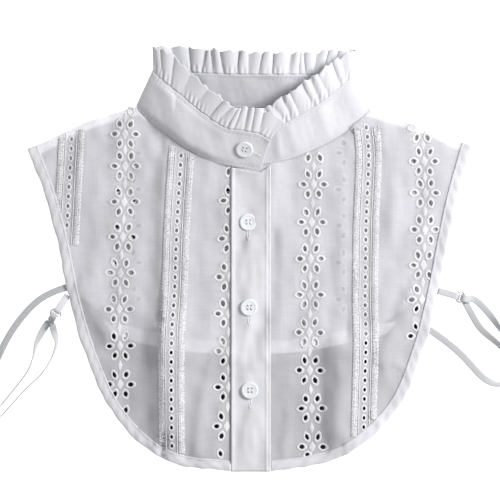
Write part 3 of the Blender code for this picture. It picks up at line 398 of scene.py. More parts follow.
# The drawn cloth under the feather stitching: from and to what distance beside the ladder's line
# it runs, its height at the edges and its rise in the middle, how deep it is sunk, its jagged
# edge's period and swing, and its room to the panel's edge
OPENWORK = (5.3, 10.7)
OPENWORK_LEVEL = 0.14
OPENWORK_CROWN = 0.02
OPENWORK_DEPTH = 0.1
OPENWORK_JAG = (2.6, 0.45)
OPENWORK_MARGIN = 3.0
# The step of an embroidered line's samples, the fewest of them that are worked, and the line's
# room to the panel's edge
LINE_STEP = 1.0
SHORTEST_RUN = 5
LINE_MARGIN = 1.2

# Satin stitching: an eyelet's rim is this wide past its hole's ends and sides, and its section
# runs from the hole's lower edge over the crest to the outer edge: share outwards, height
FLOWER_RIM = (2.0, 1.75)
RIM_SECTION = [(0.0, -0.3), (0.06, 0.16), (0.4, 0.3), (0.8, 0.2), (1.0, -0.08), (0.5, -0.2)]
# How far its points are drawn out at both ends, and how suddenly
RIM_POINT = 0.16
RIM_POINT_POWER = 6
# How pointed a long oval's ends are. Ovals are round up to this ratio of length to width, and
# fully pointed this much above it
ALMOND = 0.35
ROUND_UP_TO = 1.15
POINTED_OVER = 0.3
# Stitches round one hole
RIM_STITCHES = 26
LADDER_STITCHES = 12
BACK_STITCHES = 16
BUTTONHOLE_STITCHES = 14
# Every second stitch stands higher and farther out: its rise, the share of it outwards, and the
# level of the section above which it does
STITCH_RIDGE = 0.06
RIDGE_OUTWARDS = 0.4
RIDGE_ABOVE = 0.1
# Satin forms on a column: length and width of the heart of each flower and of the leaf below it,
# and their height
FLOWER_HEART = (9.2, 6.0)
LEAF = (9.4, 4.0)
SATIN_HEIGHT = 0.26
# A satin leaf: its fewest stitches and their width, how its outline and its crown fall to the
# tips, the least shares of width and squared height there, its stitches' two sizes, and its
# section: turns over it, how far it goes below the cloth and how far it is sunk
LEAF_STITCHES = 8
LEAF_STITCH = 0.45
LEAF_POINT = 1.25
LEAF_CROWN = 2.4
LEAF_TIP_WIDTH = 0.03
LEAF_TIP_HEIGHT = 0.02
LEAF_RIDGES = (1.05, 0.93)
LEAF_TURNS = np.array([0.0, 0.2, 0.38, 0.5, 0.62, 0.8, 1.0])
LEAF_ROOT = 0.25
LEAF_SUNK = 0.05
# Holes in the cloth: how many sides they have, up to what length they have fewer, and the least
# room between a flower's hole and the panel's edge
HOLE_SIDES = 12
SMALL_HOLE = 3.0
SMALL_HOLE_SIDES = 8
HOLE_MARGIN = 0.5
# How much a flower's holes vary: their place, length, width and lean
HOLE_SHIFT = 0.3
HOLE_LENGTHS = (0.9, 1.08)
HOLE_WIDTHS = (0.88, 1.1)
HOLE_TURN = 9.0

# Sewing thread: length of a stitch and of the gap after it, and its thickness. Each stitch rises
# this far over the cloth and dives into it at both ends
STITCH = 1.5
STITCH_GAP = 0.75
THREAD = 0.34
THREAD_SIDES = 5
THREAD_RISE = 0.05
BAND_THREAD_RISE = 0.12
STITCH_DIVE = 0.12
STITCH_SHARES = np.array([0.0, 0.2, 0.8, 1.0])
STITCH_SIZES = np.array([0.5, 1.0, 1.0, 0.5])
# The paths that stitches follow: their step, how far inside the bindings' seams they run and at
# what distance from the middle they end, X on the placket, and shares of the band's width
STITCH_PATH = 0.5
BINDING_STITCHES = 1.15
STITCHES_END = 18.0
PLACKET_STITCHES = (PLACKET_LEFT + 2.3, 16.0)
BAND_STITCHES = (0.055, 0.93)
# How far the placket's stitches stop short of its ends
STITCHES_STOP = 2.0
# How high they lie, in shares of the cloth's thickness
STITCH_LEVELS = {"binding": 1.08, "placket": 0.96, "band": 0.62, "buttonhole": 0.92}

# Gathers of the ruffle: the valleys of each third by X at the seam and at the free edge, and how
# deep the fold beyond each valley is, from the viewer's left to the right
RUFFLE_VALLEYS = {
    "front_left": [
        (-78.5, -78.6, 0.3), (-75.4, -79.5, 0.5), (-71.1, -72.5, 0.8), (-64.5, -60.7, 0.6),
        (-56.0, -46.5, 0.4), (-45.0, -33.0, 0.6), (-33.5, -20.5, 1.15), (-27.0, -13.5, 0.5),
        (-19.5, -8.5, 0.85), (-12.5, -6.0, 0.5), (-5.6, -1.0, 1.1), (0.8, 4.2, 1.1),
        (7.0, 13.0, 0.5), (14.5, 24.0, 0.6),
    ],
    "back": [
        (-76.0, -76.0, 0.4), (-60.7, -64.8, 1.0), (-47.6, -49.2, 1.5), (-38.5, -34.4, 0.4),
        (-30.7, -32.0, 1.2), (-21.5, -24.5, 1.7), (-10.9, -7.0, 1.0), (-1.1, -0.8, 0.6),
        (6.2, 11.0, 1.5), (18.0, 19.7, 1.7), (30.6, 34.0, 1.5), (39.8, 40.4, 0.9),
        (45.2, 44.0, 1.7), (52.5, 55.0, 0.9), (59.0, 64.0, 1.1), (66.0, 73.0, 0.8),
        (79.0, 81.0, 0.3),
    ],
    "front_right": [
        (-6.0, -4.0, 0.3), (8.0, 4.0, 0.4), (20.0, 12.0, 0.5), (30.3, 17.0, 0.6),
        (33.2, 25.8, 1.1), (40.5, 31.5, 0.7), (52.5, 41.5, 0.9), (56.5, 48.0, 1.2),
        (64.0, 54.5, 0.7), (74.0, 66.0, 0.9), (79.0, 73.0, 0.6), (83.0, 86.2, 0.3),
    ],
}
# The ruffle's height as it is cut
RUFFLE_HEIGHT = 20.0
# How far its folds swing at the seam and at the free edge, where between two valleys a crest lies,
# the share of the swing that stays below the ruffle's own surface, and the room that the folds
# leave free beside the two side folds
FOLD_ROOT = 1.0
FOLD_EDGE = 2.8
FOLD_PEAK = 0.43
FOLD_MIDDLE = 0.55
FOLD_ROOM = 4.0
# How far the crests lean over, and how fast that grows from the seam
FOLD_OVERHANG = 0.8
OVERHANG_GROWTH = 1.6
# The puckers under the seam: their swing, how far up they reach and at what share they begin,
# and how uneven they are: mean, change, length of the change and its turn
PUCKER_SWING = 0.42
PUCKER_REACH = 0.42
PUCKER_START = 0.12
PUCKER_UNEVEN = (0.65, 0.5, 5.3, 1.0)
# The free edge: how far it is drawn out at the crests and in at the valleys, and its waves
#   wave, turn, height
SCALLOP = 0.9
SCALLOP_MIDDLE = 0.4
EDGE_WAVES = [(23.0, 0.5, 0.7), (10.7, 2.1, 0.65), (6.7, 4.0, 0.4), (4.3, 1.0, 0.2)]
EDGE_DROP = 1.0
# The right front stands up in its middle: how far, how broadly along it and how late up it
RUFFLE_STANDS = {"front_left": 0.0, "back": 0.0, "front_right": 6.0}
STAND_BREADTH = 0.7
STAND_CURVE = 1.3

# Buttons: their middles down the placket
PLACKET_BUTTONS = [(-1.6, 30.1), (-0.8, -39.6), (-0.2, -107.3)]
# The band's button: its share of the way along the left front and up the band, and its gap
BAND_BUTTON_ALONG = 0.155
BAND_BUTTON_REACH = 0.53
BAND_BUTTON_SEAT = 0.1
BUTTON_SIDES = 56
# The turned profile from the middle of the face over the rim to the back: distance out, height
BUTTON_FACE = 1.76
BUTTON_PROFILE = [
    (0.35, BUTTON_FACE), (2.2, BUTTON_FACE), (3.4, 1.78), (4.6, 1.84), (5.2, 2.0), (5.8, 2.12), (6.4, 2.06),
    (6.85, 1.75), (7.0, 1.3), (6.8, 0.8), (6.2, 0.3), (0.35, 0.15),
]
BUTTON_HOLE_RADIUS = 0.72
BUTTON_HOLE_SPACING = 1.45
BUTTON_HOLE_SIDES = 20
# Levels between which a thread hole is cut, below and above the button
BUTTON_HOLE_LEVELS = (-2.0, 5.0)
# The threads over a button: thickness, points, how high they lie and how deep their ends go
BUTTON_THREAD = 0.6
THREAD_POINTS = 5
THREAD_LIFT = 0.12
THREAD_DIVE = 0.9
# Buttonholes: length and width of the slit, its rim past the ends and sides, how far below the
# button's middle it lies, and on the band how far beside it and at what turn
BUTTONHOLE = (9.4, 1.7)
BUTTONHOLE_RIM = (1.3, 0.75)
BUTTONHOLE_DROP = 8.0
BAND_BUTTONHOLE = (7.5, 0.7)
BAND_BUTTONHOLE_AHEAD = 8.8
BAND_BUTTONHOLE_TURN = -24.0

# Rings: radius to the middle of the wire, the wire's radius, how far a ring's plane rises towards
# the strap, and its middle's height
RING_RADIUS = 4.3
RING_WIRE = 0.7
RING_TILT = 40.0
RING_HEIGHT = 5.5
RING_SIDES = 64
WIRE_SIDES = 14
# Webbing: width, thickness, gap to the surface, how far from a ring's middle it wraps round the
# wire, outside and inside, the step along it, and the samples between two rows of its table
WEB_WIDTH = 5.6
WEB_CLOTH = 1.0
WEB_CLEAR = 0.15
WEB_OUTSIDE = RING_RADIUS + RING_WIRE + SEAM + WEB_CLOTH / 2 + 0.2
WEB_INSIDE = 1.25
WEB_STEP = 0.45
WEB_PARTS = 24
# Its section: shares of its width and of its thickness, from one edge round to it again
WEB_SECTION = np.array([
    (-0.5, 0.0), (-0.485, -0.32), (-0.43, -0.5), (-0.2, -0.5), (0.0, -0.5), (0.2, -0.5), (0.43, -0.5),
    (0.485, -0.32), (0.5, 0.0), (0.485, 0.32), (0.43, 0.5), (0.2, 0.5), (0.0, 0.5), (-0.2, 0.5),
    (-0.43, 0.5), (-0.485, 0.32),
])
# Cross ribs of the elastic and of the tabs: their wave and strength, and how much a rib widens
# and thickens the webbing
WEB_RIBS = (1.35, 1.0)
TAB_RIBS = (2.3, 0.3)
RIB_WIDENS = 0.012
RIB_DEPTH = 0.12
# Tabs: how much farther the under layer runs, the gap that a tab keeps to the collar's edge, its
# longest reach behind the ring and the step that finds it, where it bends, the upper layer's
# height at the end and at the bend, and the under layer's at the bend
TAB_UNDER = 2.5
TAB_CORNER_GAP = 0.5
TAB_LONGEST = 30.0
TAB_STEP = 0.1
TAB_BEND = 9.0
TAB_TOP_START = 2.6
TAB_TOP_BEND = 5.0
TAB_UNDER_BEND = 0.9
# The wrap round the wire: its parts and how straight the webbing leads to it
WRAP_PARTS = 6
WRAP_LEAD = 2.6

# Bindings: how far their puckers slant, and the rise of the small and of the long ones. The small
# ones are strongest at one share of the width, fall off over another and keep a least strength.
# The long ones have a contrast and end at a share of the width
BINDING_SLANT = 9.0
BINDING_FINE_PUCKER = 0.1
BINDING_PUCKER = 1.0
BINDING_PUCKER_CREST = 0.9
BINDING_PUCKER_REACH = 0.25
BINDING_PUCKER_LEAST = 0.25
BINDING_SWELL_CONTRAST = 0.9
BINDING_ROLL = 0.86
# The slight wobble of their outer edge: rise, its waves, how far the second of them shifts the
# first, and the room left even at both ends
BINDING_WOBBLE = 0.3
WOBBLE_WAVES = (3.1, 17.0, 7.7)
WOBBLE_DRIFT = 2.0
WOBBLE_ROOM = 12.0
# Section of a binding from its outer edge to its seam: share of the width, share of the thickness
BINDING_SECTION = np.array([
    (0.0, 0.45), (0.03, 0.8), (0.09, 0.98), (0.2, 1.05), (0.4, 1.0), (0.6, 0.96), (0.78, 0.95), (0.86, 1.0),
    (0.91, 1.1), (0.96, 1.1), (0.99, 0.9), (1.0, 0.55),
])
# Section of the back's hem from its lower edge up, in the same way, and how far its upper corners
# are drawn out, from what X and over what distance
HEM_SECTION = np.array([
    (0.0, 0.55), (0.04, 0.9), (0.12, 1.0), (0.5, 0.92), (0.88, 1.0), (0.96, 0.9), (1.0, 0.55),
])
HEM_CORNER = (12.0, 95.0, 16.0)
HEM_UNDERSIDE = 0.1
# Section of the placket across it: X, share of the thickness
PLACKET_SECTION = np.array([
    (PLACKET_LEFT, 0.45), (PLACKET_LEFT + 0.3, 1.0), (PLACKET_LEFT + 0.9, 1.45), (PLACKET_LEFT + 1.7, 1.3),
    (PLACKET_LEFT + 2.6, 0.85), (12.6, 0.9), (13.5, 1.3), (14.6, 0.85), (16.2, 0.95), (16.6, 0.8),
    (PLACKET_RIGHT, 0.5),
])
# The X of its mesh's columns, and how many rows it has
PLACKET_COLUMNS = np.array([
    *PLACKET_SECTION[:5, 0], -11.0, -8.5, -6.0, -3.5, -1.0, 1.5, 4.0, 6.5, 9.0, 11.0, 12.6, 13.3, 13.9,
    14.6, 15.4, 16.2, 16.6, PLACKET_RIGHT,
])
PLACKET_ROWS = 126
# How far above the cloth the underside of a binding and of the placket lies
STRIP_GAP = 0.02
# The stand band: its share of the cloth's swells, the share of its width over which they begin,
# the level below which it stays smooth, and its rows from the neck seam to the ruffle's seam
BAND_SWELL = 0.9
BAND_SWELL_START = 0.18
BAND_SMOOTH_BELOW = 2.2
BAND_ROWS = np.concatenate([
    [0.0, 0.012, 0.028, 0.042, 0.058, 0.08], np.linspace(0.12, 0.88, 14),
    [0.92, 0.945, 0.96, 0.975, 0.99, 1.0],
])
BAND_STEP = 1.1
# Its stitched edge: the share of its thickness at the very edge, the share over which it fills
# out, and the ridge beside the seam: rise, where and how wide
BAND_THIN_EDGE = 0.6
BAND_EDGE_ROOM = 0.03
BAND_RIDGE = (0.35, 0.035, 0.022)
# The ruffle's rows in shares of its height, and the step along its seam
RUFFLE_ROWS = np.linspace(0.0, 1.0, 15)
RUFFLE_STEP = 0.62

# Colours, linear
SHEER_WHITE = (0.91, 0.902, 0.98)
PLAIN_WHITE = (0.725, 0.725, 0.765)
# The hem's cotton is lighter than the plain cotton: painted light that makes up for the front cloth's shade
# over it
HEM_LIT_WHITE = (0.86, 0.86, 0.88)
THREAD_WHITE = (0.77, 0.77, 0.80)
# The openwork ground's darker tone and speckle: partly the gaps of its open weave, partly painted shade
# between the feather bars
OPENWORK_GAPS_AND_SHADE = (0.66, 0.66, 0.69)
RESIN_WHITE = (0.84, 0.86, 0.895)
ELASTIC_GREY = (0.52, 0.53, 0.55)
RING_GREY = (0.75, 0.76, 0.78)
SHEER_ALPHA = 0.41

# Noises of woven cloth: scale along x, y and z in waves a metre, and detail
WARP = ((950.0, 28.0, 300.0), 2.5)
WEFT = ((45.0, 1150.0, 300.0), 2.0)
MOTTLE = ((70.0, 70.0, 70.0), 3.0)
FINE_WEAVE = ((2600.0, 2600.0, 2600.0), 1.0)
# Values of a noise between which its tint goes from dark to light
TINT_RANGE = (0.3, 0.7)
# The noises' shares, and how high the weave stands
THREAD_SHARE = 0.4
MOTTLE_SHARE = 0.2
FINE_SHARE = 0.5
WEAVE_HEIGHT = 0.25
CLOTH_ROUGHNESS = 0.88
CLOTH_LOOKS = {"Sheen Weight": 0.12, "Sheen Roughness": 0.6, "Specular IOR Level": 0.25}
# Woven cloths: colour, how far the noises tint it, strength of its weave and how much it covers
CLOTHS = {
    "eyelet_cloth": (SHEER_WHITE, 0.08, 0.5, SHEER_ALPHA),
    "plain_cloth": (PLAIN_WHITE, 0.05, 0.45, 1.0),
    "ruffle_cloth": (PLAIN_WHITE, 0.05, 0.4, 1.0),
    # The hem's lighter colour is painted light against the front cloth's shade
    "hem_cloth_lit": (HEM_LIT_WHITE, 0.04, 0.4, 1.0),
}
# Materials with one grain: colour, roughness, metal, the grain's scale and detail, how far it
# tints, its bump's strength and height, and what else is set
GRAINED = {
    "openwork_gaps_and_shade": (OPENWORK_GAPS_AND_SHADE, 0.8, 0.0, (950.0, 760.0, 300.0), 1.0, 0.38, 0.6, 0.3, {}),
    "satin_thread": (
        THREAD_WHITE, 0.55, 0.0, (1800.0, 1800.0, 900.0), 2.0, 0.07, 0.5, 0.15, {"Sheen Weight": 0.15},
    ),
    "button_resin_shown": (
        RESIN_WHITE, 0.32, 0.0, (240.0, 240.0, 240.0), 3.0, 0.05, 0.15, 0.1,
        {"Coat Weight": 0.2, "Coat Roughness": 0.25},
    ),
    "ring_metal_shown": (RING_GREY, 0.28, 1.0, (900.0, 900.0, 900.0), 2.0, 0.06, 0.1, 0.05, {}),
    "elastic_shown": (
        ELASTIC_GREY, 0.7, 0.0, (1500.0, 1500.0, 1500.0), 2.0, 0.12, 0.5, 0.2, {"Sheen Weight": 0.2},
    ),
}

# Soft swells of the whole cloth and its fine wrinkles: the seed of their draws, how many there
# are, their shortest and longest wave, and their rise for its length
SWELLS = (11, 16, (11.0, 55.0), 0.0065)
WRINKLES = (23, 8, (3.5, 8.0), 0.004)
# How far the swells' headings spread from the cloth's width
SWELL_SPREAD = 0.55

# The least length that a direction is divided by, and the share of a ring between two points that
# tell its direction
TINY = 1e-9
NEAR_SHARE = 0.01

THIRDS = ("front_left", "back", "front_right")
SIDES = ("left", "right")
# Which way the inside of each front lies from its side edge, and what lies straight up
INWARD = {"left": 1.0, "right": -1.0}
UPWARDS = np.array([0.0, 0.0, 1.0])


# Curves and distances

def smooth_curve(points, parts=16):
    """Close samples of a smooth curve through points with any number of columns."""
    rows = np.array(points, float)
    rows = np.vstack([2.0 * rows[0] - rows[1], rows, 2.0 * rows[-1] - rows[-2]])
    samples = []
    for before, start, end, after in zip(rows, rows[1:], rows[2:], rows[3:]):
        for blend in np.arange(parts) / parts:
            samples.append(0.5 * (
                2.0 * start
                + (end - before) * blend
                + (2.0 * before - 5.0 * start + 4.0 * end - after) * blend ** 2
                + (3.0 * start - before - 3.0 * end + after) * blend ** 3
            ))
    samples.append(rows[-2])
    return np.array(samples)


def lengths(samples):
    """Running length at each sample."""
    steps = np.linalg.norm(np.diff(samples, axis=0), axis=1)
    return np.concatenate([[0.0], np.cumsum(steps)])


def between(rows, running, wanted):
    """Rows blended at wanted lengths, where each row's running length is given."""
    return np.stack([np.interp(wanted, running, column) for column in rows.T], axis=-1)


def at_lengths(samples, wanted):
    """Points at lengths along the samples."""
    return between(samples, lengths(samples), wanted)


def evenly(samples, step):
    """Points about one step apart, with both ends kept."""
    total = lengths(samples)[-1]
    count = max(1, round(total / step))
    return at_lengths(samples, np.linspace(0.0, total, count + 1))


def curve(points, step):
    """Even points of the smooth curve through a table's rows."""
    return evenly(smooth_curve(points), step)


def unit(vectors):
    """The same directions with length one."""
    return vectors / np.maximum(np.linalg.norm(vectors, axis=-1, keepdims=True), TINY)


def sideways(line, offset):
    """The line beside an open line in plan, on its left where the offset is positive."""
    along = unit(np.gradient(line[:, :2], axis=0))
    return line[:, :2] + np.stack([-along[:, 1], along[:, 0]], axis=1) * offset


def nearest_on_line(points, line):
    """For each point, its distance to a line in plan, the nearest point and the share along the line."""
    start = line[:-1]
    span = line[1:] - start
    square = np.maximum((span ** 2).sum(1), TINY)
    best = np.full(len(points), np.inf)
    nearest = np.zeros((len(points), 2))
    share = np.zeros(len(points))
    running = lengths(line)
    for index in range(len(span)):
        part = np.clip(((points - start[index]) @ span[index]) / square[index], 0.0, 1.0)
        found = start[index] + part[:, None] * span[index]
        off = np.linalg.norm(points - found, axis=1)
        closer = off < best
        best = np.where(closer, off, best)
        nearest[closer] = found[closer]
        length = running[index] + part * math.sqrt(square[index])
        share = np.where(closer, length / running[-1], share)
    return best, nearest, share


def distance(points, line):
    """Distance of each point to a line in plan."""
    return nearest_on_line(points, line)[0]


def inside(points, outline):
    """Which points lie inside a closed outline."""
    x, y = points[:, 0], points[:, 1]
    result = np.zeros(len(points), bool)
    for (x0, y0), (x1, y1) in zip(outline, np.roll(outline, -1, axis=0)):
        if y0 == y1:
            continue
        crosses = (y0 > y) != (y1 > y)
        result ^= crosses & (x < x0 + (x1 - x0) * (y - y0) / (y1 - y0))
    return result


def ease(values):
    """A smooth step from 0 to 1."""
    values = np.clip(values, 0.0, 1.0)
    return values * values * (3.0 - 2.0 * values)


def wandering_wave(along, wave, drift, drift_length, running=None):
    """A sine along a line whose turn drifts with the running length."""
    running = along if running is None else running
    return np.sin(TURN * along / wave + drift * np.sin(running / drift_length))


def unevenness(along, mean, change, length, turn):
    """A strength that changes slowly along a line."""
    return mean + change * np.sin(along / length + turn)


def at_heights(plan, heights):
    """Points of the plan at their heights."""
    return np.concatenate([plan, np.broadcast_to(heights, plan.shape[:-1])[..., None]], axis=-1)


def moved(matrix, points):
    """Points in millimetres, moved by a matrix in metres."""
    return np.array([tuple(matrix @ (Vector(point) * MM) / MM) for point in points])


def closed(line):
    """The line with its first point again at the end."""
    return np.vstack([line, line[:1]])


def lies_clear(x, y, outline, margin):
    """Whether a point lies inside an outline, farther from its edge than a margin."""
    here = np.array([(x, y)])
    return inside(here, outline)[0] and distance(here, closed(outline))[0] > margin


def turned(x, y, along, across, lean):
    """X and Y of points that lie along and across a leaning line through one point."""
    cosine, sine = math.cos(lean), math.sin(lean)
    return x + along * cosine - across * sine, y + along * sine + across * cosine


# Meshes

class Pile:
    """Forms gathered into one mesh. Each is a closed grid of points."""

    def __init__(self):
        self.points = []
        self.quads = []
        self.caps = []
        self.count = 0

    def add_ring_grid(self, grid, capped):
        """A grid whose every row is a closed ring. Its ends meet, or are capped."""
        rows, columns = grid.shape[:2]
        numbers = self.count + np.arange(rows * columns).reshape(rows, columns)
        following = np.roll(numbers, -1, axis=1)
        if capped:
            lower, upper = numbers[:-1], numbers[1:]
            lower_next, upper_next = following[:-1], following[1:]
            self.caps.append(numbers[0][::-1].tolist())
            self.caps.append(numbers[-1].tolist())
        else:
            lower, upper = numbers, np.roll(numbers, -1, axis=0)
            lower_next, upper_next = following, np.roll(following, -1, axis=0)
        self.quads.append(np.stack([lower, lower_next, upper_next, upper], axis=-1).reshape(-1, 4))
        self.points.append(grid.reshape(-1, 3))
        self.count += rows * columns

    def make(self, name, surface, level=None):
        """The object. Where a level is given, the heights so far are heights over it."""
        points = np.vstack(self.points)
        if level is not None:
            points = points.copy()
            points[:, 2] += level(points[:, :2])
        faces = np.vstack(self.quads).tolist() + self.caps
        return add_object(name, points, faces, surface)


def linked(name, data):
    """A new object of the scene."""
    made = bpy.data.objects.new(name, data)
    bpy.context.scene.collection.objects.link(made)
    return made


def add_object(name, points, faces, surface):
    """A smooth-shaded mesh object, from points in millimetres."""
    data = bpy.data.meshes.new(name)
    data.from_pydata((np.asarray(points) * MM).tolist(), [], faces)
    data.shade_smooth()
    data.materials.append(surface)
    data.validate()
    mesh = bmesh.new()
    mesh.from_mesh(data)
    bmesh.ops.recalc_face_normals(mesh, faces=mesh.faces)
    mesh.to_mesh(data)
    mesh.free()
    return linked(name, data)


def shell_between(name, top, bottom, surface):
    """A closed sheet between two grids of points."""
    rows, columns = top.shape[:2]
    count = rows * columns
    numbers = np.arange(count).reshape(rows, columns)
    upper = np.stack([numbers[:-1, :-1], numbers[:-1, 1:], numbers[1:, 1:], numbers[1:, :-1]], axis=-1)
    upper = upper.reshape(-1, 4)
    lower = upper[:, ::-1] + count
    rim = np.concatenate([numbers[0], numbers[1:, -1], numbers[-1, -2::-1], numbers[-2:0:-1, 0]])
    after = np.roll(rim, -1)
    sides = np.stack([rim, rim + count, after + count, after], axis=-1)
    faces = np.vstack([upper, lower, sides]).tolist()
    return add_object(name, np.vstack([top.reshape(-1, 3), bottom.reshape(-1, 3)]), faces, surface)


def grid_normals(grid):
    """Unit normals of a grid of points."""
    return unit(np.cross(np.gradient(grid, axis=1), np.gradient(grid, axis=0)))


def sheet(name, middle, wall, surface):
    """A sheet of even thickness round a grid of points."""
    normals = grid_normals(middle)
    return shell_between(name, middle + normals * wall / 2.0, middle - normals * wall / 2.0, surface)


def tube_rings(path, half_width, half_height, sides, up=UPWARDS):
    """Rings round a path: its width lies across the path, its height along up."""
    up = np.broadcast_to(up, path.shape)
    across = unit(np.cross(unit(np.gradient(path, axis=0)), up))
    half_width = np.broadcast_to(half_width, len(path))[:, None, None]
    half_height = np.broadcast_to(half_height, len(path))[:, None, None]
    turns = (np.arange(sides) + 0.5) / sides * TURN
    wide = across[:, None, :] * np.cos(turns)[None, :, None] * half_width
    high = up[:, None, :] * np.sin(turns)[None, :, None] * half_height
    return path[:, None, :] + wide + high


def add_stitches(pile, path, up=UPWARDS, lift=THREAD_RISE):
    """Short thread stitches along a path of close points."""
    running = lengths(path)
    up = np.broadcast_to(up, path.shape)
    start = STITCH_GAP
    while start + STITCH < running[-1]:
        wanted = start + STITCH * STITCH_SHARES
        points, tops = between(path, running, wanted), between(up, running, wanted)
        points = points + tops * np.array([-STITCH_DIVE, lift, lift, -STITCH_DIVE])[:, None]
        size = THREAD / 2.0 * STITCH_SIZES
        pile.add_ring_grid(tube_rings(points, size, size, THREAD_SIDES, tops), capped=True)
        start += STITCH + STITCH_GAP


# Materials

def plain_material(name, colour, roughness, metallic=0.0):
    """A Principled material and its shader node."""
    made = bpy.data.materials.new(name)
    made.use_nodes = True
    shader = made.node_tree.nodes["Principled BSDF"]
    shader.inputs["Base Color"].default_value = (*colour, 1.0)
    shader.inputs["Roughness"].default_value = roughness
    shader.inputs["Metallic"].default_value = metallic
    return made, shader


def scaled_noise(tree, scale, detail):
    """A noise stretched along the axes, in the object's own metres."""
    place = tree.nodes.new("ShaderNodeTexCoord")
    stretch = tree.nodes.new("ShaderNodeMapping")
    stretch.inputs["Scale"].default_value = scale
    grain = tree.nodes.new("ShaderNodeTexNoise")
    grain.inputs["Scale"].default_value = 1.0
    grain.inputs["Detail"].default_value = detail
    tree.links.new(place.outputs["Object"], stretch.inputs["Vector"])
    tree.links.new(stretch.outputs["Vector"], grain.inputs["Vector"])
    return grain.outputs["Fac"]


def blend_values(tree, operation, first, second):
    """A math node on two sockets, or on a socket and a number."""
    node = tree.nodes.new("ShaderNodeMath")
    node.operation = operation
    for socket, value in zip(node.inputs, (first, second)):
        if isinstance(value, float):
            socket.default_value = value
        else:
            tree.links.new(value, socket)
    return node.outputs["Value"]


def tint(tree, shader, value, colour, spread):
    """Base colour from a value near a half: darker below it, lighter above."""
    ramp = tree.nodes.new("ShaderNodeValToRGB")
    for element, place, share in zip(ramp.color_ramp.elements, TINT_RANGE, (1.0 - spread, 1.0 + spread)):
        element.position = place
        element.color = (*[min(part * share, 1.0) for part in colour], 1.0)
    tree.links.new(value, ramp.inputs["Fac"])
    tree.links.new(ramp.outputs["Color"], shader.inputs["Base Color"])


def roughen(tree, shader, value, strength, height):
    """Bump from a value."""
    bump = tree.nodes.new("ShaderNodeBump")
    bump.inputs["Strength"].default_value = strength
    bump.inputs["Distance"].default_value = height * MM
    tree.links.new(value, bump.inputs["Height"])
    tree.links.new(bump.outputs["Normal"], shader.inputs["Normal"])


def cloth_material(name):
    """Woven cotton: slubs in the warp and the weft, a fine weave and a faint mottle."""
    colour, spread, weave, alpha = CLOTHS[name]
    made, shader = plain_material(name, colour, CLOTH_ROUGHNESS)
    tree = made.node_tree
    warp, weft = scaled_noise(tree, *WARP), scaled_noise(tree, *WEFT)
    mottle = blend_values(tree, "MULTIPLY", scaled_noise(tree, *MOTTLE), MOTTLE_SHARE)
    fine = blend_values(tree, "MULTIPLY", scaled_noise(tree, *FINE_WEAVE), FINE_SHARE)
    threads = blend_values(tree, "MULTIPLY", blend_values(tree, "ADD", warp, weft), THREAD_SHARE)
    tint(tree, shader, blend_values(tree, "ADD", threads, mottle), colour, spread)
    roughen(tree, shader, blend_values(tree, "ADD", threads, fine), weave, WEAVE_HEIGHT)
    for socket, amount in CLOTH_LOOKS.items():
        shader.inputs[socket].default_value = amount
    shader.inputs["Alpha"].default_value = alpha
    return made


def grained_material(name):
    """A material with one noise, which tints it and gives it a bump."""
    colour, roughness, metallic, scale, detail, spread, strength, height, looks = GRAINED[name]
    made, shader = plain_material(name, colour, roughness, metallic)
    tree = made.node_tree
    grain = scaled_noise(tree, scale, detail)
    tint(tree, shader, grain, colour, spread)
    roughen(tree, shader, grain, strength, height)
    for socket, amount in looks.items():
        shader.inputs[socket].default_value = amount
    return made


# Lines of the pieces in plan

def thirds(points, folds, parts=16):
    """A collar ring as three stretches that meet at its two side folds."""
    samples = smooth_curve(points, parts)
    first, second = folds[0] * parts, folds[1] * parts
    return dict(zip(THIRDS, (samples[:first + 1], samples[first:second + 1], samples[second:])))


def fold_profile(third, x, reach):
    """Folds of the ruffle at X and at a reach: their rise from 0 to 1, their depth and their lean."""
    table = np.array(RUFFLE_VALLEYS[third])
    valleys = table[:, 0] + (table[:, 1] - table[:, 0]) * reach
    which = np.clip(np.searchsorted(valleys, x) - 1, 0, len(table) - 2)
    share = np.clip((x - valleys[which]) / (valleys[which + 1] - valleys[which]), 0.0, 1.0)
    mirrored = which % 3 == 1
    peak = np.where(mirrored, 1.0 - FOLD_PEAK, FOLD_PEAK)
    rise = np.sin(math.pi * share ** (math.log(0.5) / np.log(peak)))
    lean = np.where(
        mirrored, -np.sin(math.pi * np.minimum((1.0 - share) / FOLD_PEAK, 1.0)),
        np.sin(math.pi * np.minimum(share / FOLD_PEAK, 1.0)),
    )
    return rise, table[which, 2], lean


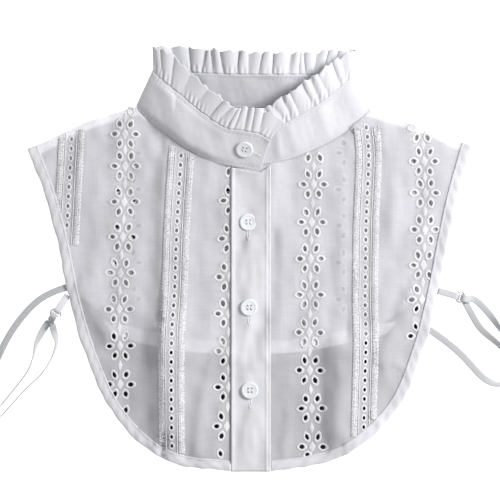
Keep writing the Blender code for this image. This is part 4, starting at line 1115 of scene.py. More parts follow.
class Collar:
    """The stand band and the ruffle as one bent surface."""

    def __init__(self):
        rings = ((NECK_SEAM, NECK_FOLDS), (TOP_SEAM, TOP_FOLDS), (RUFFLE_EDGE, RUFFLE_FOLDS))
        self.rings = [thirds(points, folds) for points, folds in rings]

    def point(self, level, third, share):
        """Points at shares of the way along one third of a ring."""
        samples = self.rings[level][third]
        return at_lengths(samples, lengths(samples)[-1] * share)

    def length(self, level, third):
        """Length of one third of a ring."""
        return lengths(self.rings[level][third])[-1]

    def columns(self, step):
        """Every third with its even shares, the shared folds only once."""
        for third in THIRDS:
            count = round(self.length(1, third) / step)
            shares = np.linspace(0.0, 1.0, count + 1)
            yield third, shares if third == "front_left" else shares[1:]

    def band(self, step, reaches):
        """The band's middle surface: a row of points for each reach from the neck seam upwards."""
        columns = []
        for third, shares in self.columns(step):
            low, high = self.point(0, third, shares), self.point(1, third, shares)
            columns.append(low + (high - low) * reaches[:, None, None])
        return np.concatenate(columns, axis=1)

    def ruffle(self, step, reaches):
        """The ruffle's middle surface with its gathers, and the running length of its seam."""
        columns = []
        for third, shares in self.columns(step):
            low, high = self.point(1, third, shares), self.point(2, third, shares)
            near = [np.clip(shares + aside, 0.0, 1.0) for aside in (-NEAR_SHARE, NEAR_SHARE)]
            along = unit(self.point(1, third, near[1]) - self.point(1, third, near[0]))
            outwards = (high - low) / RUFFLE_HEIGHT
            across = unit(np.cross(along, high - low))
            across *= np.where(across[:, 2] < 0.0, -1.0, 1.0)[:, None]
            rightwards = along * np.where(along[:, 0] < 0.0, -1.0, 1.0)[:, None]
            from_fold = {"front_left": 1.0 - shares, "front_right": shares}
            from_fold = from_fold.get(third, np.minimum(shares, 1.0 - shares))
            fold = ease(from_fold * self.length(1, third) / FOLD_ROOM)[:, None]
            stand = np.sin(math.pi * shares) ** STAND_BREADTH * RUFFLE_STANDS[third]
            seam = (shares * self.length(1, third))[:, None]
            edge = np.full_like(seam, -EDGE_DROP)
            for wave, turn, height in EDGE_WAVES:
                edge = edge + height * np.sin(TURN * seam / wave + turn)
            pucker = across * PUCKER_SWING * wandering_wave(seam, *RUFFLE_PUCKER_WAVE)
            pucker = pucker * unevenness(seam, *PUCKER_UNEVEN) * fold
            rows = []
            for reach in reaches:
                row = low + (high - low) * reach
                row[:, 2] += stand * reach ** STAND_CURVE
                rise, depth, lean = (part[:, None] for part in fold_profile(third, row[:, 0], reach))
                strength = depth * fold
                swing = FOLD_ROOT + (FOLD_EDGE - FOLD_ROOT) * reach
                row = row + outwards * SCALLOP * reach * (rise - SCALLOP_MIDDLE) * strength
                row = row + outwards * edge * reach ** 2 * fold
                row = row + across * swing * (rise - FOLD_MIDDLE) * strength
                row = row - rightwards * FOLD_OVERHANG * ease(reach * OVERHANG_GROWTH) * lean * strength
                fade = math.sin(math.pi * min(PUCKER_START + reach / PUCKER_REACH, 1.0))
                rows.append(row + pucker * fade)
            columns.append(np.array(rows))
        return np.concatenate(columns, axis=1)


COLLAR = Collar()


def armhole_and_hem(side):
    """One side edge from the shoulder tip to the middle of the hem, and its binding's inner line."""
    outer = curve(SIDE_EDGES[side], EDGE_STEP)
    return outer, sideways(outer, INWARD[side] * BINDING_WIDTH)


def neck_line(third, inset):
    """The neck seam of one third in plan, moved into the panel below it."""
    line = evenly(COLLAR.rings[0][third][:, :2], EDGE_STEP)
    return sideways(line, -inset if third == "back" else inset)


def back_lines():
    """Outline of the back above its hem, anticlockwise, its lower edge and its hem line."""
    lower = curve(BACK_LOWER_EDGE, EDGE_STEP)
    hem_line = sideways(lower, HEM_WIDTH)
    armholes, shoulders = {}, {}
    for side in SIDES:
        top, tip = BACK_SIDE_TOPS[side], SHOULDERS[side][-1]
        armhole = sideways(armhole_and_hem(side)[0], INWARD[side] * BACK_INSET)
        kept = armhole[(armhole[:, 1] > top[1] + BACK_ROOM[0]) & (armhole[:, 1] < tip[1] - BACK_ROOM[1])]
        corner = np.array([[tip[0] + INWARD[side] * BACK_CORNER[0], tip[1] - BACK_CORNER[1]]])
        armholes[side] = np.vstack([corner, kept, [top]])
        shoulders[side] = sideways(np.array(SHOULDERS[side]), INWARD[side] * SHOULDER_INSET)[1:-1]
    neck = neck_line("back", NECK_INSET)[1:-1]
    above = np.vstack([
        armholes["right"][::-1], shoulders["right"][::-1], neck[::-1], shoulders["left"], armholes["left"],
    ])
    return above, lower, hem_line


BACK_ABOVE, BACK_LOWER, BACK_HEM_LINE = back_lines()
BACK_EDGE = np.vstack([BACK_LOWER, BACK_ABOVE])


def fold_rise(points, x0, y0, x1, y1, left, right, height):
    """How far one fold lifts the cloth: its two sides fall by different widths."""
    line = np.array([(x0, y0), (x1, y1)])
    away, nearest, _ = nearest_on_line(points, line)
    rightwards = (points[:, 0] - nearest[:, 0]) > 0.0
    return height * np.exp(-(away / np.where(rightwards, right, left)) ** 2)


def front_underside(points):
    """How high the underside of a front lies over points of the plan."""
    away = np.where(inside(points, BACK_EDGE), 0.0, distance(points, closed(BACK_EDGE)))
    level = FRONT_LIFT * (1.0 - ease((away - LIFT_KEEP) / LIFT_FALL))
    over_strap = distance(points, np.array(STRAP_UNDER_FRONT))
    level = np.maximum(level, STRAP_LIFT * (1.0 - ease((over_strap - WEB_WIDTH) / STRAP_LIFT_FALL)))
    for x0, y0, x1, y1, width, rise in CREASES:
        level = level + fold_rise(points, x0, y0, x1, y1, width, width, rise)
    return level


def swell_table(seed, count, waves, rise):
    """Waves over the plan: two wave numbers, a turn and a rise each. Most crests run down it."""
    chance = random.Random(seed)
    table = []
    for _ in range(count):
        length = math.exp(chance.uniform(math.log(waves[0]), math.log(waves[1])))
        heading = chance.gauss(0.0, SWELL_SPREAD)
        table.append((
            TURN * math.cos(heading) / length, TURN * math.sin(heading) / length, chance.uniform(0.0, TURN),
            rise * length,
        ))
    return table


SWELL_TABLE = swell_table(*SWELLS) + swell_table(*WRINKLES)


def swells(points):
    """The faint unevenness of cloth that has been folded and laid out."""
    x, y = points[:, 0], points[:, 1]
    rise = np.zeros(len(points))
    for across, down, turn, height in SWELL_TABLE:
        rise += height * np.sin(across * x + down * y + turn)
    return rise


def fine_folds(points):
    """The finer folds of the fronts and a faint unevenness of the whole cloth."""
    rise = swells(points)
    for fold in FRONT_FOLDS:
        rise = rise + fold_rise(points, *fold)
    height, reach = NECK_PLEATS
    for third, strength in NECK_PLEAT_STRENGTH.items():
        line = neck_line(third, 0.0)
        away, _, share = nearest_on_line(points, line)
        pleat = wandering_wave(share * lengths(line)[-1], *NECK_PLEAT_WAVE)
        rise = rise + strength * height * pleat * np.exp(-(away / reach) ** 2)
        rise = rise + NECK_RISE[0] * np.exp(-(away / NECK_RISE[1]) ** 2)
    return rise


def front_base(points):
    """The underside of the fronts with every fold of theirs."""
    level = front_underside(points) + fine_folds(points)
    return SETTLED * np.logaddexp(0.0, level / SETTLED)


def front_top(points):
    """The face of the sheer front cloth."""
    return front_base(points) + SHEER_LEVEL + SHEER / 2.0


def back_top(points):
    """The face of the sheer back cloth."""
    return np.full(len(points), SHEER_LEVEL + SHEER / 2.0)


def placket_top_line(x):
    """The placket's upper end over X, along the neck seam."""
    line = neck_line("front_left", NECK_INSET)
    line = np.vstack([line[np.argsort(line[:, 0])], PLACKET_TOP_RIGHT])
    return np.interp(x, line[:, 0], line[:, 1])


def placket_level(points):
    """Where the placket lies over the plan, and the rise of its folds."""
    folds = PLACKET_SWELL * swells(points * PLACKET_SWELLS[0] + PLACKET_SWELLS[1])
    for x, y in PLACKET_BUTTONS:
        for x0, y0, x1, y1, left, right, height in BUTTON_FOLDS:
            folds += fold_rise(points, x + x0, y + y0, x + x1, y + y1, left, right, height)
    return front_base(points) + SOLID_CLOTH + SEAM, folds


def placket_face(points, thickness):
    """The level over the plan of a placket of a thickness, with its folds."""
    level, folds = placket_level(points)
    return level + thickness + folds


def buttonhole_level(points):
    """Where the placket's buttonholes are sewn."""
    return placket_face(points, STITCH_LEVELS["buttonhole"] * PLACKET_CLOTH)


def front_outline(side):
    """Outline of one front's cloth, anticlockwise: it runs on under the binding and the placket."""
    inner = sideways(armhole_and_hem(side)[0], INWARD[side] * (BINDING_WIDTH - UNDER_BINDING))
    shoulder = np.array(SHOULDERS[side])[1:-1]
    neck = neck_line(f"front_{side}", 0.0)
    middle_edge = FRONT_LEFT_EDGE if side == "left" else UNDERLAP_LEFT
    if side == "left":
        neck = neck[::-1]
        neck = neck[neck[:, 0] < middle_edge - CORNER_ROOM]
        edge = inner[inner[:, 0] < middle_edge - CORNER_ROOM]
    else:
        neck = neck[neck[:, 0] > middle_edge + CORNER_ROOM]
        edge = inner[inner[:, 0] > PLACKET_RIGHT + 2.0 * CORNER_ROOM]
        edge = np.vstack([edge, [(PLACKET_RIGHT - CORNER_ROOM, PLACKET_BOTTOM + UNDERLAP_RISE)]])
    top = neck[-1][1] if side == "left" else neck[-1][1] - CORNER_ROOM
    levels = np.linspace(edge[-1][1], top, MIDDLE_POINTS)
    corner = np.stack([np.full(MIDDLE_POINTS, middle_edge), levels], axis=1)
    outline = np.vstack([edge, corner, neck[::-1], evenly(shoulder, EDGE_STEP)])
    return outline if side == "left" else outline[::-1]


def pointed(turns, length, width):
    """Half widths round an oval from -1 to 1. A long oval comes to a point at both ends."""
    power = ALMOND * min(max((length / width - ROUND_UP_TO) / POINTED_OVER, 0.0), 1.0)
    return np.sin(turns) * np.abs(np.sin(turns)) ** power


def oval(x, y, length, width, lean, sides):
    """A small oval, its long axis at an angle."""
    turns = np.arange(sides) / sides * TURN
    along, across = np.cos(turns) * length / 2.0, pointed(turns, length, width) * width / 2.0
    return np.stack(turned(x, y, along, across, lean), axis=1)


def flower_places(middles, outline):
    """Holes of a column of flowers that lie clear inside a panel: x, y, length, width, lean."""
    chance = random.Random(len(middles))
    found = []
    for x, y in middles:
        for hole_x, hole_y, length, width, lean in FLOWER_HOLES:
            middle_x = x + hole_x + chance.uniform(-HOLE_SHIFT, HOLE_SHIFT)
            middle_y = y + hole_y + chance.uniform(-HOLE_SHIFT, HOLE_SHIFT)
            length *= chance.uniform(*HOLE_LENGTHS)
            width *= chance.uniform(*HOLE_WIDTHS)
            lean += chance.uniform(-HOLE_TURN, HOLE_TURN)
            if lies_clear(middle_x, middle_y, outline, length / 2.0 + HOLE_MARGIN):
                found.append((middle_x, middle_y, length, width, math.radians(lean)))
    return found


def ladder_places(line, outline):
    """Eyelets down a ladder: x, y, length, width, lean along the ladder's line."""
    points = evenly(smooth_curve(line), LADDER_PITCH)
    along = np.gradient(points, axis=0)
    return [
        (x, y, *LADDER_HOLE, math.atan2(dy, dx))
        for (x, y), (dx, dy) in zip(points, along) if lies_clear(x, y, outline, LADDER_MARGIN)
    ]


def cloth_shell(name, outline, holes, face_level, surface):
    """A thin shell of cloth with its holes cut, whose face lies at a level over the plan."""
    low, high = outline.min(axis=0), outline.max(axis=0)
    rows = []
    for number, y in enumerate(np.arange(low[1] + PANEL_GRID / 2.0, high[1], PANEL_GRID * ROW_SHARE)):
        x = np.arange(low[0] + PANEL_GRID * 0.5 * (number % 2), high[0], PANEL_GRID)
        rows.append(np.stack([x, np.full(len(x), y)], axis=1))
    grid = np.vstack(rows)
    grid = grid[inside(grid, outline)]
    grid = grid[distance(grid, closed(outline)) > EDGE_ROOM * PANEL_GRID]
    for x, y, length, width, _ in holes:
        reach = 0.5 * max(length, width) + HOLE_ROOM * PANEL_GRID
        grid = grid[np.hypot(grid[:, 0] - x, grid[:, 1] - y) > reach]
    loops = [outline]
    for hole in holes:
        loops.append(oval(*hole, HOLE_SIDES if hole[2] > SMALL_HOLE else SMALL_HOLE_SIDES))
    edges = []
    first = 0
    for loop in loops:
        count = len(loop)
        edges += [(first + index, first + (index + 1) % count) for index in range(count)]
        first += count
    points = [Vector(point) for point in np.vstack(loops + [grid])]
    corners, _, faces, _, _, _ = delaunay_2d_cdt(points, edges, [], 1, SAME_POINT)
    corners = np.array([tuple(corner) for corner in corners])
    faces = np.array([face[:3] for face in faces])
    middles = corners[faces].mean(axis=1)
    keep = inside(middles, outline)
    for x, y, length, width, lean in holes:
        near = np.hypot(middles[:, 0] - x, middles[:, 1] - y) < length
        if near.any():
            here = np.where(near)[0]
            keep[here[inside(middles[here], oval(x, y, length, width, lean, 2 * HOLE_SIDES))]] = False
    faces = faces[keep]
    used, faces = np.unique(faces, return_inverse=True)
    faces = faces.reshape(-1, 3)
    corners = corners[used]
    level = face_level(corners)
    top, bottom = at_heights(corners, level), at_heights(corners, level - SHEER)
    sides = np.vstack([faces[:, [0, 1]], faces[:, [1, 2]], faces[:, [2, 0]]])
    ordered = np.sort(sides, axis=1)
    _, which, counts = np.unique(ordered, axis=0, return_index=True, return_counts=True)
    rim = sides[which[counts == 1]]
    count = len(corners)
    rims = np.stack([rim[:, 1], rim[:, 0], rim[:, 0] + count, rim[:, 1] + count], axis=1)
    every = faces.tolist() + (faces[:, ::-1] + count).tolist() + rims.tolist()
    return add_object(name, np.vstack([top, bottom]), every, surface)


# Straps

class RingFrame:
    """Directions at one leaning ring: along the strap, across it and up the ring's own plane."""

    def __init__(self, x, y, heading):
        turn, lean = math.radians(heading), math.radians(RING_TILT)
        self.middle = np.array([x, y, RING_HEIGHT])
        self.ahead = np.array([math.cos(turn), math.sin(turn), 0.0])
        self.across = np.array([-math.sin(turn), math.cos(turn), 0.0])
        self.up_plane = self.ahead * math.cos(lean) + UPWARDS * math.sin(lean)
        self.off_plane = -self.ahead * math.sin(lean) + UPWARDS * math.cos(lean)

    def behind(self, back, height):
        """A webbing row behind the ring, towards the collar, at a height above the surface."""
        x, y, _ = self.middle - self.ahead * back
        return [x, y, height, *self.across]

    def reach_to(self, edge):
        """How far behind the ring a tab can run before its end meets an edge of the collar."""
        for reach in np.arange(RING_RADIUS, TAB_LONGEST, TAB_STEP):
            ends = self.middle - self.ahead * reach + np.outer((-0.5, 0.5), self.across) * WEB_WIDTH
            if distance(ends[:, :2], edge).min() < TAB_CORNER_GAP:
                return reach
        return TAB_LONGEST

    def wrap(self, side):
        """Webbing rows round the wire: side 1 is the strap's, side -1 the tab's."""
        middle = 0.5 * (WEB_INSIDE + WEB_OUTSIDE)
        radius = 0.5 * (WEB_OUTSIDE - WEB_INSIDE)
        rows = []
        for part in range(WRAP_PARTS + 1):
            turn = math.pi * (1.0 - part / WRAP_PARTS)
            point = self.middle + side * self.up_plane * (middle + radius * math.cos(turn))
            point = point + side * self.off_plane * radius * math.sin(turn)
            rows.append([*point, *self.across])
        leave = [*(-side * WRAP_LEAD * self.off_plane), 0.0, 0.0, 0.0]
        ends = [np.add(rows[0], leave).tolist(), np.add(rows[-1], leave).tolist()]
        return ends[:1] + rows + ends[1:]


def webbing_rows(table):
    """Strap table rows as a middle and a width direction each."""
    rows = []
    for x, y, lift, heading, rise in table:
        turn, up = math.radians(heading), math.radians(rise)
        width = (math.cos(turn) * math.cos(up), math.sin(turn) * math.cos(up), math.sin(up))
        level = WEB_CLEAR + lift + 0.5 * (WEB_WIDTH * math.sin(up) + WEB_CLOTH * math.cos(up))
        rows.append([x, y, level, *width])
    return rows


def webbing_frames(rows):
    """Close even samples of a strip: middles, directions along, across its width and off its face."""
    samples = smooth_curve(rows, WEB_PARTS)
    running = lengths(samples[:, :3])
    count = round(running[-1] / WEB_STEP)
    wanted = np.linspace(0.0, running[-1], count + 1)
    even = between(samples, running, wanted)
    middle, width = even[:, :3], even[:, 3:]
    along = unit(np.gradient(middle, axis=0))
    width = unit(width - along * (width * along).sum(axis=1)[:, None])
    flat = np.sqrt(np.maximum(1.0 - width[:, 2] ** 2, 0.0))
    half_height = 0.5 * (WEB_WIDTH * np.abs(width[:, 2]) + WEB_CLOTH * flat)
    middle[:, 2] = np.maximum(middle[:, 2], WEB_CLEAR + half_height)
    off = np.cross(along, width)
    return wanted, middle, width, off


def webbing(name, rows, ribbed, surface):
    """A strip of webbing, with cross ribs where it is elastic."""
    along, middle, width, off = webbing_frames(rows)
    wave, strength = WEB_RIBS if ribbed else TAB_RIBS
    rib = strength * np.sin(TURN * along / wave)
    wide = WEB_WIDTH * (1.0 + RIB_WIDENS * rib)
    thick = WEB_CLOTH * (1.0 - RIB_DEPTH + RIB_DEPTH * rib)
    grid = middle[:, None, :] + width[:, None, :] * (WEB_SECTION[None, :, 0, None] * wide[:, None, None])
    grid = grid + off[:, None, :] * (WEB_SECTION[None, :, 1, None] * thick[:, None, None])
    pile = Pile()
    pile.add_ring_grid(grid, capped=True)
    return pile.make(name, surface)


# Buttons

def round_stack(x, y, profile, sides):
    """A turned form round an upright axis, from its profile of distances out and heights."""
    turns = np.arange(sides) / sides * TURN
    pile = Pile()
    rings = [
        [(x + out * math.cos(turn), y + out * math.sin(turn), height) for turn in turns]
        for out, height in profile
    ]
    pile.add_ring_grid(np.array(rings), capped=True)
    return pile


def turned_button(name, surface):
    """A dished button with four thread holes, its underside on the level of its origin."""
    blank = round_stack(0.0, 0.0, BUTTON_PROFILE, BUTTON_SIDES).make(name, surface)
    cutters = []
    for quarter in range(4):
        turn = TURN * (quarter + 0.5) / 4.0
        out = BUTTON_HOLE_SPACING * math.sqrt(2.0)
        profile = [(BUTTON_HOLE_RADIUS, height) for height in BUTTON_HOLE_LEVELS]
        hole = round_stack(out * math.cos(turn), out * math.sin(turn), profile, BUTTON_HOLE_SIDES)
        cutter = hole.make(f"{name}_cutter_{quarter}", surface)
        cutters.append(cutter)
        cut = blank.modifiers.new(f"hole_{quarter}", "BOOLEAN")
        cut.operation = "DIFFERENCE"
        cut.object = cutter
    evaluated = blank.evaluated_get(bpy.context.evaluated_depsgraph_get())
    mesh = bpy.data.meshes.new_from_object(evaluated)
    for spare in cutters + [blank]:
        bpy.data.objects.remove(spare)
    mesh.name = name
    mesh.materials.clear()
    mesh.materials.append(surface)
    return mesh


# Embroidery. Heights here are over the cloth's face, until a pile is draped.

def satin_rim(pile, x, y, length, width, lean, rim, stitches):
    """Satin stitching round an oval hole. It comes to a soft point at both ends of the oval."""
    turns = np.arange(2 * stitches) / (2 * stitches) * TURN
    cosine, sine = np.cos(turns), np.sin(turns)
    ridge = np.where(np.arange(2 * stitches) % 2 == 0, STITCH_RIDGE, -STITCH_RIDGE)
    inner = np.stack([cosine * length / 2.0, pointed(turns, length, width) * width / 2.0], axis=1)
    point = 1.0 + RIM_POINT * np.abs(cosine) ** RIM_POINT_POWER
    outer = np.stack([cosine * (length / 2.0 + rim[0]) * point, sine * (width / 2.0 + rim[1])], axis=1)
    outer *= (1.0 + RIDGE_OUTWARDS * ridge)[:, None]
    shares, heights = np.array(RIM_SECTION).T
    plan = inner[:, None, :] + (outer - inner)[:, None, :] * shares[None, :, None]
    height = heights[None, :] + ridge[:, None] * (heights[None, :] > RIDGE_ABOVE)
    grid = np.stack([*turned(x, y, plan[..., 0], plan[..., 1], lean), height], axis=-1)
    pile.add_ring_grid(grid, capped=False)


def satin_leaf(pile, x, y, length, width, lean, height):
    """A pointed mound of satin stitches laid across its length."""
    count = max(LEAF_STITCHES, 2 * round(length / LEAF_STITCH))
    share = np.linspace(-1.0, 1.0, count + 1)
    half = 0.5 * width * np.maximum(1.0 - np.abs(share) ** LEAF_POINT, LEAF_TIP_WIDTH)
    ridge = np.where(np.arange(count + 1) % 2 == 0, *LEAF_RIDGES)
    turns = LEAF_TURNS * math.pi
    across = np.concatenate([np.cos(turns), [-0.5, 0.5]])
    up = np.concatenate([np.sin(turns), [-LEAF_ROOT, -LEAF_ROOT]])
    plan_x = np.broadcast_to((share * length / 2.0)[:, None], (count + 1, len(across)))
    plan_y = (half * ridge)[:, None] * across[None, :]
    rise = height * np.sqrt(np.maximum(1.0 - np.abs(share) ** LEAF_CROWN, LEAF_TIP_HEIGHT)) * ridge
    level = rise[:, None] * up[None, :] - LEAF_SUNK
    pile.add_ring_grid(np.stack([*turned(x, y, plan_x, plan_y, lean), level], axis=-1), capped=True)


def laid_cord(pile, line, width, height, twist):
    """A cord couched on the cloth, its thickness pulsing with its twist."""
    path = evenly(line, twist / CORD_PARTS)
    pulse = 1.0 + CORD_PULSE * np.sin(TURN * lengths(path) / twist)
    path = at_heights(path, CORD_LEVEL * height)
    pile.add_ring_grid(tube_rings(path, 0.5 * width * pulse, 0.5 * height * pulse, CORD_SIDES), capped=True)


def feather_row(pile, line, lean):
    """A row of slanting satin bars along a line in plan."""
    length, width, height = FEATHER_BAR
    middles = evenly(line, FEATHER_PERIOD)
    along = np.gradient(middles, axis=0)
    for (x, y), (dx, dy) in zip(middles, along):
        turn = math.atan2(dy, dx) + lean
        plan = turned(x, y, 0.5 * length * BAR_SHARES, 0.0, turn)
        path = np.stack([*plan, np.full(len(BAR_SHARES), BAR_LEVEL)], axis=1)
        bar = tube_rings(path, 0.5 * width * BAR_SIZES, height * BAR_SIZES, BAR_SIDES)
        pile.add_ring_grid(bar, capped=True)


def clip_line(line, outline, margin):
    """The longest run of a line that lies inside an outline, clear of its edge."""
    line = evenly(line, LINE_STEP)
    good = inside(line, outline) & (distance(line, closed(outline)) > margin)
    best, start = (0, 0), None
    for index, ok in enumerate(list(good) + [False]):
        if ok and start is None:
            start = index
        elif not ok and start is not None:
            if index - start > best[1] - best[0]:
                best = (start, index)
            start = None
    return line[best[0]:best[1]]


def column_ornament(pile, middles, outline):
    """The satin hearts of a column of flowers and the leaves between them."""
    middles = np.array(middles)
    for number, (x, y) in enumerate(middles):
        ends = middles[max(number - 1, 0)], middles[min(number + 1, len(middles) - 1)]
        down = ends[1] - ends[0]
        lean = math.atan2(down[1], down[0])
        forms = [((x, y), FLOWER_HEART)]
        if number + 1 < len(middles):
            forms.append((0.5 * (middles[number] + middles[number + 1]), LEAF))
        for middle, form in forms:
            if lies_clear(*middle, outline, 0.5 * form[0]):
                satin_leaf(pile, *middle, *form, lean, SATIN_HEIGHT)


def openwork_ground(pile, line, side, outline):
    """The drawn, more open cloth under one band of feather stitching. Its darker tone is partly its open
    weave and partly painted shade between the bars.
    """
    middle = clip_line(sideways(line, side * 0.5 * sum(OPENWORK)), outline, OPENWORK_MARGIN)
    if len(middle) < SHORTEST_RUN:
        return
    half = 0.5 * (OPENWORK[1] - OPENWORK[0])
    period, swing = OPENWORK_JAG
    jag = swing * np.sin(TURN * np.arange(len(middle)) / period)[:, None]
    across = sideways(middle, 1.0) - middle[:, :2]
    rows = []
    for out, height in (
        (-half, -OPENWORK_DEPTH), (half, -OPENWORK_DEPTH), (half, OPENWORK_LEVEL),
        (0.0, OPENWORK_LEVEL + OPENWORK_CROWN), (-half, OPENWORK_LEVEL),
    ):
        plan = sideways(middle, out) + across * jag * (abs(out) > 0.0)
        rows.append(at_heights(plan, height))
    pile.add_ring_grid(np.stack(rows, axis=1), capped=True)


def ladder_ornament(pile, line, outline):
    """The cords and the feather stitching on both sides of a ladder of eyelets."""
    middle = smooth_curve(line)
    for side in (-1.0, 1.0):
        cord = clip_line(sideways(middle, side * CORD_OFFSET), outline, LINE_MARGIN)
        laid_cord(pile, cord, CORD_WIDTH, CORD_HEIGHT, CORD_TWIST)
        for number, offset in enumerate(FEATHER_OFFSETS):
            feather = clip_line(sideways(middle, side * offset), outline, LINE_MARGIN)
            if len(feather) > SHORTEST_RUN:
                lean = FEATHER_LEAN if number % 2 else -FEATHER_LEAN
                feather_row(pile, feather, math.radians(lean) * side)


# Materials of the collar

eyelet_cloth = cloth_material("eyelet_cloth")
plain_cloth = cloth_material("plain_cloth")
ruffle_cloth = cloth_material("ruffle_cloth")
openwork_gaps_and_shade = grained_material("openwork_gaps_and_shade")
hem_cloth_lit = cloth_material("hem_cloth_lit")
satin = grained_material("satin_thread")
resin = grained_material("button_resin_shown")
wire_metal = grained_material("ring_metal_shown")
elastic = grained_material("elastic_shown")


def place(piece, slot, *nodes):
    """Let a piece ride with the collar and stand for its nodes."""
    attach(piece, "root")
    if nodes:
        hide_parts(*nodes)
    return piece


# Fronts and back with their cutwork

columns = {
    "left": (FLOWERS_OUTER_LEFT, FLOWERS_INNER_LEFT), "right": (FLOWERS_INNER_RIGHT, FLOWERS_OUTER_RIGHT),
}
ladders = {"left": [LADDER_OUTER_LEFT, LADDER_LEFT], "right": [LADDER_RIGHT]}
cutwork = {}
for side in SIDES:
    outline = front_outline(side)
    flowers = flower_places(columns[side][0] + columns[side][1], outline)
    for x, y, length, width, lean in CUT_FLOWER_HOLES[side]:
        if lies_clear(x, y, outline, length / 2.0):
            flowers.append((x, y, length, width, math.radians(lean)))
    eyelets = [hole for line in ladders[side] for hole in ladder_places(line, outline)]
    place(
        cloth_shell(f"front_{side}_cloth", outline, flowers + eyelets, front_top, eyelet_cloth),
        "eyelet_cotton", f"front_{side}",
    )
    cutwork[side] = (outline, flowers, eyelets)

back_outline = np.vstack([sideways(BACK_LOWER, HEM_WIDTH - BACK_UNDER_HEM), BACK_ABOVE])
back_flowers = []
for column in BACK_FLOWER_COLUMNS:
    middles = [(column, BACK_FLOWER_TOP - BACK_FLOWER_PITCH * row) for row in range(BACK_FLOWERS)]
    back_flowers += flower_places(middles, back_outline)
back_cloth = place(
    cloth_shell("back_cloth", back_outline, back_flowers, back_top, eyelet_cloth), "eyelet_cotton", "back",
)

# The back's hem, in a lighter copy of the plain cotton: painted light against the shade of the front cloth
# over it
shift, start, room = HEM_CORNER
hem_upper = BACK_HEM_LINE.copy()
hem_upper[:, 0] += np.sign(hem_upper[:, 0]) * shift * ease((np.abs(hem_upper[:, 0]) - start) / room)
shares, puff = HEM_SECTION.T
plan = BACK_LOWER + (hem_upper - BACK_LOWER) * shares[:, None, None]
top, bottom = at_heights(plan, (puff * HEM_CLOTH)[:, None]), at_heights(plan, HEM_UNDERSIDE)
place(shell_between("back_hem_cloth", top, bottom, hem_cloth_lit), "plain_cotton", "back_hem")

# Bindings
for side in SIDES:
    outer, inner = armhole_and_hem(side)
    stop = PLACKET_LEFT - SEAM if side == "left" else PLACKET_RIGHT + SEAM
    kept = np.abs(outer[:, 0]) > abs(stop) + CORNER_ROOM
    outer, inner = outer[kept], inner[kept]
    running = lengths(outer)
    first, drift, second = WOBBLE_WAVES
    wobble = np.sin(running / first + WOBBLE_DRIFT * np.sin(running / drift))
    wobble = wobble + np.sin(running / second)
    wobble = BINDING_WOBBLE * wobble * ease(running / WOBBLE_ROOM)
    wobble = wobble * ease((running[-1] - running) / WOBBLE_ROOM)
    outer = outer + unit(outer - inner) * wobble[:, None]
    outer = np.vstack([outer, [(stop, outer[-1][1])]])
    inner = np.vstack([inner, [(stop, inner[-1][1])]])
    shares, puff = BINDING_SECTION.T
    plan = outer + (inner - outer) * shares[:, None, None]
    base = front_base(plan.reshape(-1, 2)).reshape(plan.shape[:2])
    running = lengths(outer)[None, :]
    slanted = running + BINDING_SLANT * shares[:, None]
    near_seam = np.exp(-((shares - BINDING_PUCKER_CREST) / BINDING_PUCKER_REACH) ** 2)[:, None]
    pucker = BINDING_FINE_PUCKER * wandering_wave(slanted, *BINDING_PUCKER_WAVE, running)
    pucker = pucker * (BINDING_PUCKER_LEAST + (1.0 - BINDING_PUCKER_LEAST) * near_seam)
    swell = ease(0.5 + BINDING_SWELL_CONTRAST * wandering_wave(slanted, *BINDING_SWELL_WAVE, running))
    pucker += BINDING_PUCKER * swell * np.sin(math.pi * np.clip(shares / BINDING_ROLL, 0.0, 1.0))[:, None]
    top = at_heights(plan, base + puff[:, None] * BINDING_CLOTH + pucker)
    bottom = at_heights(plan, base + STRIP_GAP)
    binding = shell_between(f"binding_{side}_cloth", top, bottom, plain_cloth)
    place(binding, "plain_cotton", f"binding_{side}")

# Placket
tops = placket_top_line(PLACKET_COLUMNS)
grid_y = PLACKET_BOTTOM + (tops[None, :] - PLACKET_BOTTOM) * np.linspace(0.0, 1.0, PLACKET_ROWS)[:, None]
plan = np.stack([np.broadcast_to(PLACKET_COLUMNS, grid_y.shape), grid_y], axis=-1)
base, folds = (part.reshape(grid_y.shape) for part in placket_level(plan.reshape(-1, 2)))
puff = np.interp(PLACKET_COLUMNS, *PLACKET_SECTION.T)
top = at_heights(plan, base + puff[None, :] * PLACKET_CLOTH + folds)
bottom = at_heights(plan, base + STRIP_GAP)
placket = place(shell_between("placket_cloth", top, bottom, plain_cloth), "plain_cotton", "placket")

# Stand band and ruffle, each one strip from end to end
band_middle = COLLAR.band(BAND_STEP, BAND_ROWS)
flat = band_middle[..., :2].reshape(-1, 2)
puff = BAND_SWELL * swells(flat * BAND_SWELLS[0] + BAND_SWELLS[1])
for fold in BAND_FOLDS:
    puff += fold_rise(flat, *fold)
ends = np.minimum(BAND_ROWS, 1.0 - BAND_ROWS)[:, None]
standing = band_middle[..., 2] > BAND_SMOOTH_BELOW
puff = puff.reshape(standing.shape) * ease(ends / BAND_SWELL_START) * standing
height, reach = BAND_PLEATS
along = np.array([lengths(row) for row in band_middle])
pleat = wandering_wave(along + BAND_PLEAT_SLANT * BAND_ROWS[:, None], *BAND_PLEAT_WAVE, along)
pleat *= height * unevenness(along, *BAND_PLEAT_UNEVEN)
pleat = pleat * np.exp(-((ends - BAND_PLEAT_CREST) / reach) ** 2) * ease(ends / BAND_PLEAT_START)
puff = puff + pleat * standing
band_middle = band_middle + UPWARDS * puff[..., None]
ridge, crest, breadth = BAND_RIDGE
swell = BAND_THIN_EDGE + (1.0 - BAND_THIN_EDGE) * ease(ends / BAND_EDGE_ROOM)
swell = swell + ridge * np.exp(-((ends - crest) / breadth) ** 2)
stand_band = place(
    sheet("stand_band", band_middle, (BAND_CLOTH * swell)[..., None], plain_cloth),
    "plain_cotton", "band_front_left", "band_back", "band_front_right",
)
